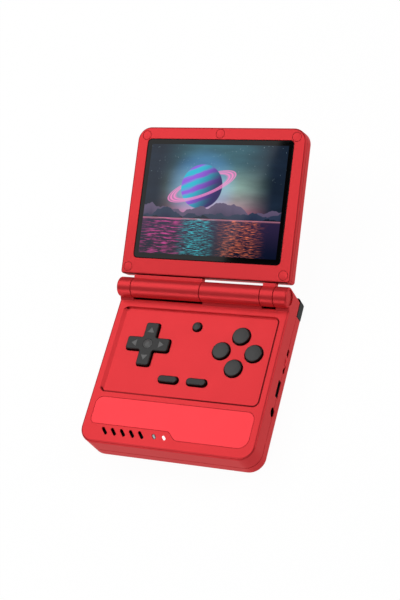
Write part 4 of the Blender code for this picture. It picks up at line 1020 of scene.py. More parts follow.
@dataclass(frozen=True)
class SatinRed(Plastic):
    """The shell's red plastic, whose gloss takes on the colour of the pigment flakes in it."""

    metallic: float = 0.40
    specular: float = 0.12
    gloss_colour: Colour = (1.0, 0.16, 0.18, 1.0)
    line_width: float = 0.00016
    skin: Point2 = (-0.00025, -0.00050)

    def line(self, distance: Value, width: float) -> Value:
        """1 in a fine line where a distance is zero, fading to 0 beside it."""
        return abs(distance).ramp(width, width / 3)

    def rim_distance(
        self, across: Value, along: Value, box: tuple[float, float, float, float], radius: float
    ) -> Value:
        """Distance to a rectangle with rounded corners, negative inside.

        Args:
            across: X of the point.
            along: Y of the point.
            box: Left, right, front and rear of the rectangle.
            radius: Radius of its corners.

        Returns:
            The distance.
        """
        left, right, front, rear = box
        sides = abs(across - (left + right) / 2) - ((right - left) / 2 - radius)
        ends = abs(along - (front + rear) / 2) - ((rear - front) / 2 - radius)
        outside = (sides.most(0.0) ** 2.0 + ends.most(0.0) ** 2.0).root()
        return outside + sides.most(ends).least(0.0) - radius

    def inside_base(self, point: Value) -> Value:
        """1 behind the skin of the base's walls, else 0."""
        body = (-SIZES.half, SIZES.half, SIZES.front, SIZES.rear)
        return self.rim_distance(point.x, point.y, body, SIZES.front_corner).ramp(*self.skin)


@dataclass(frozen=True)
class DeckRed(SatinRed):
    """The base's red, with fine dark lines at the top face's edge, painted shade lines round the recess, and
    painted shade in the openings and inside.
    """

    front_inset: float = 0.0010
    side_inset: float = 0.00045
    darkness: float = 0.30
    deck_levels: Point2 = (0.0006, 0.0004)
    deck_end: float = 0.0292
    # Painted shade round the recess: where its foot is hidden, how wide and strong the lines are, and its
    # corners.
    hidden: Point2 = (-0.00073, 0.00067)
    foot_shadow: float = 0.00012
    foot_width: float = 0.00048
    foot_strength: Point2 = (0.66, 0.22)
    foot_change: Point2 = (-0.012, 0.008)
    arc_width: float = 0.00055
    arc_strengths: tuple[float, float, float] = (0.85, 0.5, 0.9)
    # Where painted shade falls in the shell's inside, the speaker slots and the troughs under the knuckles.
    opening_depth: float = 0.00030
    slots: Point2 = (-0.0204, 0.0115)
    slot_depth: float = 0.0023
    bay_radius: float = 0.0056
    bay_depth: float = 0.00012

    def _painted_shade_in_openings(self, point: Value) -> Value:
        """Where painted shade darkens the openings, the shell's inside and the troughs under the lid's
        knuckles.

        Args:
            point: The point.

        Returns:
            1 in them, else 0.
        """
        below = self.inside_base(point) * (point.z < SIZES.recess_top - self.opening_depth)
        middle, reach = self.slots
        slots = (abs(point.x - middle) < reach) * (abs(point.y - SIZES.speaker_y) < self.slot_depth)
        slots = slots * (point.z < SIZES.height - self.opening_depth)
        up, along = point.z - SIZES.axis_z, point.y - SIZES.axis_y
        trough = (up * up + along * along).root() < self.bay_radius
        trough = trough * (up < SIZES.height - self.bay_depth - SIZES.axis_z)
        first, second, third, fourth = SIZES.seams
        bays = [abs(point.x - (a + b) / 2) < (b - a) / 2 for a, b in ((first, second), (third, fourth))]
        return below.most(slots).most(trough * bays[0].most(bays[1]))

    def _recess_painted_shade(self, point: Value) -> Value:
        """Painted shade: lines where the recess's walls hide its foot, and shade in its corners.

        Args:
            point: The point.

        Returns:
            How dark the painted shade makes the point, from 0 to 1.
        """
        side, corner, (aside, back) = SIZES.recess_side, SIZES.recess_corner, self.hidden
        front, rear = SIZES.recess_front, SIZES.recess_rear
        seen = (aside - side, aside + side, front + back, rear + back)
        foot = self.rim_distance(point.x, point.y, seen, corner) + self.foot_shadow
        floor = (abs(point.z - SIZES.recess_top) < self.foot_shadow) * (abs(point.x) < side)
        base, more = self.foot_strength
        lines = self.line(foot, self.foot_width) * floor * (base + point.x.ramp(*self.foot_change) * more)
        wall = (point.z < SIZES.height - self.foot_shadow) * (point.z > SIZES.recess_top - self.foot_shadow)
        edge = self.rim_distance(point.x, point.y, (-side, side, front, rear), corner)
        left = (-point.x).ramp(side - corner, side - corner / 2)
        right = point.x.ramp(side - corner, side - corner / 2)
        near = (-point.y).ramp(-front - corner, -front - corner * 0.6)
        arc = self.line(edge, self.arc_width) * wall * point.y.ramp(rear - corner / 3, rear - corner / 6)
        low_arc = self.line(edge + self.foot_width, self.arc_width) * wall * left * near
        for mark, strength in zip((arc * left, arc * right, low_arc), self.arc_strengths):
            lines = lines.most(mark * strength)
        return lines

    def tone(self, tree: Tree, point: Value) -> Value:
        """The colour at a point, darker in the edge lines and in the painted shade round the recess and in
        the openings.

        Args:
            tree: The material's nodes.
            point: The point.

        Returns:
            The colour.
        """
        edge = SIZES.half - self.side_inset
        box = (-edge, edge, SIZES.front + self.front_inset, SIZES.rear + SIZES.depth)
        distance = self.rim_distance(point.x, point.y, box, SIZES.front_corner - self.front_inset)
        low, high = self.deck_levels
        deck = point.z.ramp(SIZES.height - low, SIZES.height - high) * (point.y < self.deck_end)
        light = 1.0 - self.line(distance, self.line_width) * deck * self.darkness
        # Painted shade round the recess and in the openings.
        light = light * (1.0 - self._recess_painted_shade(point)) * (1.0 - self._painted_shade_in_openings(point) * OPENING_SHADE)
        return tree.scaled(super().tone(tree, point), light)


@dataclass(frozen=True)
class TrayRed(SatinRed):
    """The lower shell's red, with painted shade that makes it black inside and in the openings of its walls.
    """

    floor: float = 0.0020

    def tone(self, tree: Tree, point: Value) -> Value:
        """The colour at a point, black inside from painted shade."""
        inside = self.inside_base(point) * (point.z > self.floor)
        return tree.scaled(super().tone(tree, point), 1.0 - inside * OPENING_SHADE)


@dataclass(frozen=True)
class LidRed(SatinRed):
    """The lid's red, with the fine line where its rounded edge starts and painted shade in its sunk seats."""

    inset: float = 0.00055
    darkness: float = 0.50
    face_levels: Point2 = (0.0005, 0.0003)
    # Painted shade in the sunk seats and pockets of the lid's face.
    seat_depth: float = 0.00012
    seat_margin: float = 0.0006
    seat_shade: float = 0.85

    def tone(self, tree: Tree, point: Value) -> Value:
        """The colour at a point, darker in the line and with painted shade in sunk seats.

        Args:
            tree: The material's nodes.
            point: The point.

        Returns:
            The colour.
        """
        lean_cos, lean_sin = math.cos(SIZES.lean), math.sin(SIZES.lean)
        y, z = point.y - SIZES.axis_y, point.z - SIZES.axis_z
        along, height = y * lean_cos + z * lean_sin, z * lean_cos - y * lean_sin
        side, face = SIZES.half - self.inset, SIZES.lid_face
        box = (-side, side, SIZES.lid_near - SIZES.depth, SIZES.lid_far - self.inset)
        distance = self.rim_distance(point.x, along, box, SIZES.lid_corner - self.inset)
        low, high = self.face_levels
        front = height.ramp(face - low, face - high) * (along > SIZES.lid_near)
        sunk = (height < face - self.seat_depth) * (distance < -self.seat_margin)
        line = self.line(distance, self.line_width) * front * self.darkness
        return tree.scaled(super().tone(tree, point), 1.0 - line.most(sunk * self.seat_shade))


@dataclass(frozen=True)
class KeyPlastic(Plastic):
    """Button plastic, with painted shade that makes it black below the top face's edge."""

    grain: float = 0.00022
    # Painted shade darkens the sides between these heights.
    shade_low: float = SIZES.control_top - 0.00024
    shade_high: float = SIZES.control_top - 0.00003
    darkest: float = 0.05

    def tone(self, tree: Tree, point: Value) -> Value:
        """The colour at a point, with painted shade darker down the side."""
        shade = point.z.ramp(self.shade_low, self.shade_high)
        return tree.scaled(super().tone(tree, point), self.darkest + shade * (1.0 - self.darkest))


@dataclass(frozen=True)
class Metal:
    """Plain or brushed metal."""

    name: str
    colour: Colour
    roughness: float
    streak: float = 0.00012
    stretch: float = 0.08
    tone_change: float = 0.16
    roughness_change: float = 0.12
    relief: float = 0.000002

    def make(self) -> bpy.types.Material:
        """Build the material.

        Returns:
            The material.
        """
        tree = Tree(self.name)
        point = tree.place()
        streaks = tree.noise(tree.vector(point.x * self.stretch, point.y, point.z), 1.0 / self.streak, 2.0)
        tree.surface(
            Base_Color=tree.scaled(self.colour, 1.0 + (streaks - 0.5) * self.tone_change),
            Metallic=1.0,
            Roughness=self.roughness + (streaks - 0.5) * self.roughness_change,
            Normal=tree.bump(streaks, self.relief),
        )
        return tree.material


@dataclass(frozen=True)
class Board:
    """A lacquered circuit board with copper tracks."""

    name: str = "circuit_board"
    lacquer: Colour = (0.010, 0.085, 0.035, 1.0)
    track: Colour = (0.030, 0.190, 0.070, 1.0)
    pad: Colour = (0.70, 0.52, 0.18, 1.0)
    lane_scale: float = 600.0
    lane_stretch: float = 0.15
    lane_share: float = 0.55
    pad_scale: float = 420.0
    pad_edge: Point2 = (0.16, 0.12)
    relief: float = 0.00003

    def make(self) -> bpy.types.Material:
        """Build the material.

        Returns:
            The material.
        """
        tree = Tree(self.name)
        point = tree.place()
        stretched = tree.vector(point.x, point.y * self.lane_stretch)
        lanes = tree.noise(stretched, self.lane_scale, 0.0) > self.lane_share
        pads = tree.cells(point, self.pad_scale).ramp(*self.pad_edge)
        colour = tree.mix(pads, tree.mix(lanes, self.lacquer, self.track), self.pad)
        tree.surface(
            Base_Color=colour,
            Metallic=pads,
            Roughness=0.45 - pads * 0.2,
            Normal=tree.bump(lanes + pads, self.relief),
        )
        return tree.material


@dataclass(frozen=True)
class Lens:
    """A clouded light pipe."""

    name: str
    colour: Colour
    shine: float = 0.0
    cloud_scale: float = 1800.0
    relief: float = 0.000004

    def make(self) -> bpy.types.Material:
        """Build the material.

        Returns:
            The material.
        """
        tree = Tree(self.name)
        point = tree.place()
        cloud = tree.noise(point, self.cloud_scale, 2.0)
        tree.surface(
            Base_Color=tree.scaled(self.colour, 0.94 + cloud * 0.12),
            Emission_Color=self.colour,
            Emission_Strength=self.shine,
            Roughness=0.22 + cloud * 0.08,
            Coat_Weight=0.6,
            Coat_Roughness=0.05,
            Normal=tree.bump(cloud, self.relief),
        )
        return tree.material


@dataclass(frozen=True)
class Hills:
    """A range of hills in the picture, in parts of its height."""

    scale: float
    height: float
    base: float
    seed: float
    colour: Colour


@dataclass(frozen=True)
class Glint:
    """A broken reflection on the picture's water."""

    middle: float
    sway: float
    width: float
    end: float
    strength: float
    colour: Colour
    fine: bool = True


@dataclass(frozen=True)
class PictureGlass:
    """Black cover glass with a lit, made-up landscape in its window.

    The window's corners lie at 0 and 1 of the glass's UV map. Lengths are parts of its height.
    """

    name: str = "screen_glass"
    colour: Colour = srgb(8, 8, 9)
    aspect: float = 66.8 / 50.3
    horizon: float = -0.17
    light: float = 0.92
    bend: float = 1.28
    dusk: Colour = srgb(236, 120, 160)
    sky: tuple[tuple[float, float, Colour], ...] = (
        (0.0, 0.14, srgb(176, 150, 158)),
        (0.10, 0.30, srgb(150, 186, 176)),
        (0.26, 0.52, srgb(58, 108, 122)),
    )
    night: Colour = srgb(26, 40, 58)
    star: Colour = srgb(210, 240, 250)
    planet: Point2 = (-0.12, 0.12)
    planet_radius: float = 0.20
    tilt: Point2 = (0.93, 0.36)
    stripes: tuple[Colour, Colour] = (srgb(40, 190, 215), srgb(150, 90, 225))
    shade: Colour = srgb(34, 24, 92)
    halo: Colour = srgb(60, 120, 190)
    ring: Colour = srgb(250, 140, 205)
    ring_squash: float = 3.6
    ring_reach: tuple[float, float, float, float] = (0.245, 0.255, 0.345, 0.335)
    hills: tuple[Hills, ...] = (
        Hills(2.2, 0.20, 0.060, 11.0, srgb(96, 84, 112)),
        Hills(3.4, 0.14, 0.020, 3.0, srgb(46, 58, 82)),
        Hills(6.0, 0.08, -0.012, 7.0, srgb(16, 30, 46)),
    )
    hill_foot: Colour = srgb(20, 24, 60)
    water: tuple[Colour, Colour] = (srgb(44, 34, 66), srgb(8, 16, 40))
    glints: tuple[Glint, ...] = (
        Glint(-0.12, 0.10, 0.17, 0.64, 0.9, srgb(60, 210, 225)),
        Glint(0.30, 0.12, 0.20, 0.66, 0.9, srgb(255, 132, 92)),
        Glint(-0.46, 0.10, 0.22, 0.64, 0.8, srgb(225, 70, 160), fine=False),
    )
    shore: Colour = srgb(236, 150, 170)

    def _sky(self, tree: Tree, x: Value, y: Value) -> Value:
        """Dusk sky from the horizon up.

        Args:
            tree: The material's nodes.
            x: Place across the picture.
            y: Place up the picture.

        Returns:
            The picture so far.
        """
        rise = y - self.horizon
        top: Value | Colour = self.dusk
        for low, high, colour in self.sky:
            top = tree.mix(rise.ramp(low, high), top, colour)
        top = tree.mix(abs(x).ramp(0.16, 0.58), top, self.night)
        haze = tree.noise(tree.vector(x * 0.6, y * 2.4), 4.0, 4.0)
        stars = tree.cells(tree.vector(x, y), 38.0).ramp(0.10, 0.02) * rise.ramp(0.22, 0.5)
        return tree.mix(stars * 0.8, tree.scaled(top, 0.35 + haze * 0.95), self.star)

    def _planet(self, tree: Tree, x: Value, y: Value, behind: Value) -> Value:
        """A banded planet with a tilted ring.

        Args:
            tree: The material's nodes.
            x: Place across the picture.
            y: Place up the picture.
            behind: What is behind it.

        Returns:
            The picture so far.
        """
        u, v = x - self.planet[0], y - self.planet[1]
        turn, slope = self.tilt
        across, up = u * turn + v * slope, v * turn - u * slope
        distance, radius = (u * u + v * v).root(), self.planet_radius
        bands = (up * 62.0 + tree.noise(tree.vector(across, up * 5.0), 7.0, 2.0) * 3.0).sine()
        body = tree.mix(bands.ramp(-0.8, 0.9), *self.stripes)
        body = tree.mix((across * -0.7 + up * 0.7).ramp(-0.17, 0.12), self.shade, body)
        glow = distance.ramp(radius * 1.9, radius) * 0.45
        disc = distance.ramp(radius + 0.004, radius - 0.004)
        tall = up * self.ring_squash
        reach = (across * across + tall * tall).root()
        inner, inner_end, outer, outer_end = self.ring_reach
        band = reach.ramp(inner, inner_end) * reach.ramp(outer, outer_end)
        band = band * (0.65 + (reach * 190.0).sine() * 0.35)
        globe = tree.mix(disc, tree.added(behind, tree.scaled(self.halo, glow)), body)
        return tree.mix(band * (1.0 - disc * (up > 0.0)), globe, self.ring)

    def _ridges(self, tree: Tree, x: Value, y: Value, behind: Value) -> Value:
        """Ranges of hills, the nearest one darkest.

        Args:
            tree: The material's nodes.
            x: Place across the picture.
            y: Place up the picture.
            behind: What is behind them.

        Returns:
            The picture so far.
        """
        picture = behind
        for hills in self.hills:
            bumps = tree.noise(tree.vector(x, hills.seed), hills.scale, 4.0, 0.55)
            crest = (bumps - 0.42) * (hills.height * 2.4)
            top = crest + (self.horizon + hills.base)
            slope = tree.mix((top - y).ramp(0.0, hills.height), hills.colour, self.hill_foot)
            picture = tree.mix((top - y).ramp(-0.003, 0.003), picture, slope)
        return picture

    def _water(self, tree: Tree, x: Value, y: Value) -> Value:
        """Dark water with broken reflections of the sky and planet.

        Args:
            tree: The material's nodes.
            x: Place across the picture.
            y: Place up the picture.

        Returns:
            The water's colour.
        """
        depth = self.horizon - y
        ripple = tree.noise(tree.vector(x * 1.6, y * 16.0), 5.0, 4.0, 0.6)
        fine = tree.noise(tree.vector(x * 3.0, y * 46.0, 4.0), 5.0, 2.0, 0.6)
        water = tree.mix(depth.ramp(0.0, 0.33), *self.water)
        for glint in self.glints:
            reach = (abs(x - glint.middle) - ripple * glint.sway).ramp(glint.width, 0.0)
            broken = fine.ramp(0.50, glint.end) if glint.fine else ripple.ramp(0.48, glint.end)
            water = tree.mix(reach * broken * glint.strength, water, glint.colour)
        return tree.mix(depth.ramp(0.02, 0.0) * 0.5, water, self.shore)

    def make(self) -> bpy.types.Material:
        """Build the material.

        Returns:
            The material.
        """
        tree = Tree(self.name)
        sheet = tree.sheet_place()
        u, v = sheet.x, sheet.y
        x, y = (u - 0.5) * self.aspect, v - 0.5
        scene = self._ridges(tree, x, y, self._planet(tree, x, y, self._sky(tree, x, y)))
        scene = tree.mix(y < self.horizon, scene, self._water(tree, x, y))
        across, up = 0.5 - abs(u - 0.5), 0.5 - abs(v - 0.5)
        edge = across.ramp(0.0, 0.002) * up.ramp(0.0, 0.002)
        border = across.least(up).ramp(-0.06, 0.0)
        smear = tree.noise(tree.place(), 120.0, 3.0)
        tree.surface(
            Base_Color=tree.scaled(self.colour, 1.0 - border * 0.8),
            Roughness=0.035 + smear * 0.03,
            Emission_Color=tree.scaled(scene, edge),
            Emission_Strength=self.light,
            IOR=self.bend,
        )
        return tree.material


@dataclass(frozen=True)
class Finishes:
    """Every finish on the console, each made once."""

    shell: bpy.types.Material
    tray: bpy.types.Material
    deck: bpy.types.Material
    lid: bpy.types.Material
    panel: bpy.types.Material
    key: bpy.types.Material
    round_key: bpy.types.Material
    mark: bpy.types.Material
    ball: bpy.types.Material
    black: bpy.types.Material
    rubber: bpy.types.Material
    glass: bpy.types.Material
    display: bpy.types.Material
    grey_lens: bpy.types.Material
    white_lens: bpy.types.Material
    steel: bpy.types.Material
    dark_steel: bpy.types.Material
    gold: bpy.types.Material
    board: bpy.types.Material
    cell: bpy.types.Material

    @classmethod
    def made(cls) -> "Finishes":
        """Build all materials.

        Returns:
            The finishes.
        """
        red, bright = srgb(230, 62, 67), srgb(255, 72, 80)
        crown = SIZES.control_top - SIZES.button_crown
        grey = srgb(55, 55, 55)
        # Painted shade down the round keys' sides, from just below their crown.
        round_shade = {"shade_low": crown - 0.00026, "shade_high": crown - 0.00004}
        return cls(
            shell=SatinRed("red_shell", red, 0.36).make(),
            tray=TrayRed("red_shell_tray", red, 0.36).make(),
            deck=DeckRed("red_shell_deck", red, 0.36).make(),
            lid=LidRed("red_shell_lid", red, 0.36).make(),
            panel=SatinRed("accent_panel", bright, 0.32, unevenness=0.02).make(),
            key=KeyPlastic("button_grey", grey, 0.44, specular=0.32).make(),
            round_key=KeyPlastic("button_grey_round", grey, 0.44, **round_shade).make(),
            # A lighter grey on the pad's arrow floors, a painted highlight.
            mark=Plastic("button_mark", srgb(116, 116, 116), 0.50).make(),
            # A lighter grey on the pad's dome, a painted highlight.
            ball=Plastic("button_ball", srgb(90, 90, 90), 0.40).make(),
            black=Plastic("black_plastic", srgb(14, 15, 15), 0.50, specular=0.12).make(),
            rubber=Plastic("keypad_rubber", srgb(150, 150, 152), 0.75).make(),
            glass=PictureGlass().make(),
            display=Plastic("lcd_panel", srgb(12, 12, 14), 0.30).make(),
            grey_lens=Lens("lamp_lens_grey", srgb(178, 196, 196)).make(),
            white_lens=Lens("lamp_lens_white", srgb(250, 252, 252), 0.6).make(),
            steel=Metal("steel", (0.56, 0.57, 0.58, 1.0), 0.30).make(),
            dark_steel=Metal("charge_steel", (0.040, 0.058, 0.058, 1.0), 0.50).make(),
            gold=Metal("contact_gold", (0.85, 0.62, 0.25, 1.0), 0.28).make(),
            board=Board().make(),
            cell=Metal("battery_cell", (0.46, 0.47, 0.49, 1.0), 0.42).make(),
        )


# Pieces


class Maker:
    """Puts finished pieces into the scene and hangs them on their bodies."""

    def __init__(self, finishes: Finishes) -> None:
        """Keep the finishes."""
        self.finishes = finishes

    def piece(
        self,
        name: str,
        shape: Shape,
        material: bpy.types.Material,
        body: Body,
        slot: Slot,
        replaces: Sequence[str] = (),
        extra: Sequence[bpy.types.Material] = (),
    ) -> bpy.types.Object:
        """Finish a shape as a piece of the console.

        Args:
            name: The piece's name.
            shape: Its shape at rest, used up here.
            material: Its finish.
            body: The body it rides on.
            slot: The record's slot that its finish comes from. Not used.
            replaces: CAD nodes it stands for.
            extra: More finishes, for faces with a material number.

        Returns:
            The piece.
        """
        mesh = shape.outward().mesh(name)
        mesh.shade_smooth()
        mesh.set_sharp_from_angle(angle=SHARP_ANGLE)
        for finish in (material, *extra):
            mesh.materials.append(finish)
        thing = bpy.data.objects.new(name, mesh)
        bpy.context.scene.collection.objects.link(thing)
        weighted = thing.modifiers.new("weighted", "WEIGHTED_NORMAL")
        weighted.keep_sharp = True
        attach(thing, body.value)
        slot.value
        if replaces:
            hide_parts(*replaces)
        log.info("%s: %d faces on %s", name, len(mesh.polygons), body.value)
        return thing

    def dress(self, names: Iterable[str], material: bpy.types.Material) -> None:
        """Give CAD nodes that stay a better finish.

        Args:
            names: The nodes' names.
            material: Their finish.
        """
        for name in names:
            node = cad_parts[name]
            node.data.materials.clear()
            node.data.materials.append(material)
            log.info("%s dressed", name)


@dataclass(frozen=True)
class Screw:
    """A pan-head screw with a cross recess and a ringed shank."""

    length: float
    head: float = 0.0015
    head_thickness: float = 0.0006
    shank: float = 0.0007
    pitch: float = 0.00045
    ring_depth: float = 0.00012
    recess_span: float = 0.0018
    recess_arm: float = 0.00036
    recess_depth: float = 0.00034

    def shape(self) -> Shape:
        """The screw, its head's outer face at height zero and its shank going up.

        Returns:
            The screw.
        """
        edge, foot = SOFT_EDGE, self.head_thickness
        points, bends = [(0.0, 0.0)], quarter(RIM_STEPS)
        points += [(self.head - edge + edge * math.sin(a), edge - edge * math.cos(a)) for a in bends]
        points += [(self.head, foot), (self.shank, foot)]
        for index in range(1, int(self.length / self.pitch)):
            middle = foot + index * self.pitch
            points += [(self.shank - self.ring_depth, middle), (self.shank, middle + self.pitch / 2)]
        points += [(self.shank / 2, foot + self.length), (0.0, foot + self.length)]
        drive = cross(0.0, 0.0, self.recess_span, self.recess_arm, SMALLEST_RADIUS, SMALLEST_RADIUS)
        return Shape.turned(points, SMALL_SIDES).cut(Shape.prism(drive, -OVERRUN, self.recess_depth))


@dataclass(frozen=True)
class Assembly:
    """A sub-assembly and the maker that finishes its pieces."""

    maker: Maker

    @property
    def finishes(self) -> Finishes:
        """The console's finishes."""
        return self.maker.finishes


def body_outline(inset: float) -> Outline:
    """The base's plan, drawn in all round."""
    side, front, rear = SIZES.half - inset, SIZES.front + inset, SIZES.rear - inset
    return rectangle(-side, side, front, rear, SIZES.front_corner - inset, SIZES.rear_corner - inset)


def underside_pocket(outline: OutlineMaker, depth: float, rim: float = SOFT_EDGE) -> Shape:
    """A cutter for a pocket in the underside."""
    return Shape.pocket(outline, -depth, 0.0, rim).upturned()


@dataclass(frozen=True)
class SideOpenings:
    """Openings in the side walls, which both halves of the case share."""

    charge_y: float = -0.0029
    charge_width: float = 0.0076
    charge_thickness: float = 0.0032
    charge_chamfer: float = 0.0001
    charge_corner: float = 0.0003
    jack_y: float = -0.0135
    jack_hole: float = 0.0040
    wheel_y: float = 0.0105
    wheel_z: float = 0.0058
    wheel_slot_length: float = 0.0114
    wheel_slot_height: float = 0.0021
    slider_y: float = 0.01175
    slider_slot_length: float = 0.0067
    slider_slot_height: float = 0.0028
    card_y: float = -0.0072
    card_width: float = 0.0118
    card_thickness: float = 0.0010
    card_z: float = 0.0076

    def charge_outline(self, inset: float) -> Outline:
        """The charging socket's outline in Y and Z.

        Args:
            inset: How far it is drawn in.

        Returns:
            The outline.
        """
        reach, rise = self.charge_width / 2 - inset, self.charge_thickness / 2 - inset
        y, z = self.charge_y, SIZES.socket_height
        corner = max(self.charge_corner - inset, SMALLEST_RADIUS)
        return rectangle(y - reach, y + reach, z - rise, z + rise, corner)

    def cutters(self) -> list[Shape]:
        """Make cutters with soft rims for all five openings.

        Returns:
            The cutters.
        """
        wall, z = SIZES.half - SIZES.wall - OVERRUN, SIZES.socket_height
        jack = long_hole(self.jack_y, z, self.jack_hole + 2 * SMALLEST_RADIUS, self.jack_hole)
        wheel = long_hole(self.wheel_y, self.wheel_z, self.wheel_slot_length, self.wheel_slot_height)
        slider = long_hole(self.slider_y, z, self.slider_slot_length, self.slider_slot_height)
        card = long_hole(self.card_y, self.card_z, self.card_width, self.card_thickness)
        right = ((self.charge_outline, self.charge_chamfer), (jack, SOFT_EDGE * 2), (wheel, SOFT_EDGE))
        cutters = [Shape.pocket(hole, wall, SIZES.half, rim).along_x() for hole, rim in right]
        return cutters + [Shape.pocket(hole, wall, SIZES.half).along_x().flipped() for hole in (slider, card)]


@dataclass(frozen=True)
class HingeBlock:
    """The rear of the top case in section: valley, barrel and rear wall."""

    ramp_foot: float = 0.0291
    ramp_soft: float = 0.0006
    ramp_turn: float = math.radians(55)
    flank_angle: float = math.radians(25.4)
    start_y: float = 0.0286
    bay_gap: float = 0.0009
    stop_clearance: float = 0.0005
    pin_bore: float = 0.0023
    clutch_bore: float = 0.0032
    cap_radius: float = 0.0033
    cap_thickness: float = 0.0009
    cap_sink: float = 0.0005

    def profile(self, inset: float, low: float) -> Outline:
        """Section in Y and Z from the deck over the barrel and down the rear wall.

        Args:
            inset: How far it is drawn in.
            low: Height of the parting face.

        Returns:
            The section's points.
        """
        flank = math.pi + self.flank_angle
        radius = SIZES.hinge_radius - inset
        points = [(self.start_y, SIZES.height - inset)]
        foot = self.ramp_foot, SIZES.height + self.ramp_soft
        points += arc(foot, self.ramp_soft + inset, -math.pi / 2, -self.ramp_turn)
        points += arc((SIZES.axis_y, SIZES.axis_z), radius, flank, 0)
        points += [(SIZES.rear - inset, low)]
        return points

    def bay(self, left: float, right: float) -> Shape:
        """Room for a lid knuckle: a trough round the barrel and a lowered rear wall.

        Args:
            left: X of the seam on its left.
            right: X of the seam on its right.

        Returns:
            The cutter.
        """
        radius = SIZES.hinge_radius + self.bay_gap
        stop = SIZES.axis_z + math.cos(SIZES.lean) * SIZES.lid_back - self.stop_clearance
        start = -math.asin((SIZES.axis_z - stop) / radius)
        mouth = -math.pi + math.asin((SIZES.axis_z - SIZES.height - SMALLEST_RADIUS + SOFT_EDGE) / radius)
        points = arc((SIZES.axis_y, SIZES.axis_z), radius, start, mouth)
        y, z = points[-1]
        points += arc((y - SOFT_EDGE, z), SOFT_EDGE, 0, math.pi / 2, COARSE_ARC_STEP)
        top = SIZES.axis_z + radius + OVERRUN
        points += [(self.start_y, SIZES.height + SMALLEST_RADIUS), (self.start_y, top)]
        points += [(SIZES.rear + OVERRUN, top), (SIZES.rear + OVERRUN, stop)]
        return Shape.prism(points, left - SIZES.seam, right + SIZES.seam).along_x()

    def rim(self, seam: float, way: int) -> Shape:
        """A ring that takes the sharp edge off a barrel's end at a seam.

        Args:
            seam: X of the gap's middle.
            way: 1 where the barrel lies towards +X, else -1.

        Returns:
            The cutter.
        """
        outer, edge = SIZES.hinge_radius, SOFT_EDGE
        beyond = outer + edge / 4
        profile = [(outer - edge, -edge), (outer - edge * 0.7, edge * 0.3), (outer, edge)]
        profile += [(beyond, edge), (beyond, -edge)]
        bm = bmesh.new()
        rings = [
            [bm.verts.new((x, y, z)) for x, y in circle(0, 0, radius, ROUND_SIDES)] for radius, z in profile
        ]
        skin(bm, rings + rings[:1])
        ring = Shape(bm).outward()
        if way < 0:
            ring.upturned()
        return ring.along_x().at(seam + way * SIZES.seam, SIZES.axis_y, SIZES.axis_z)


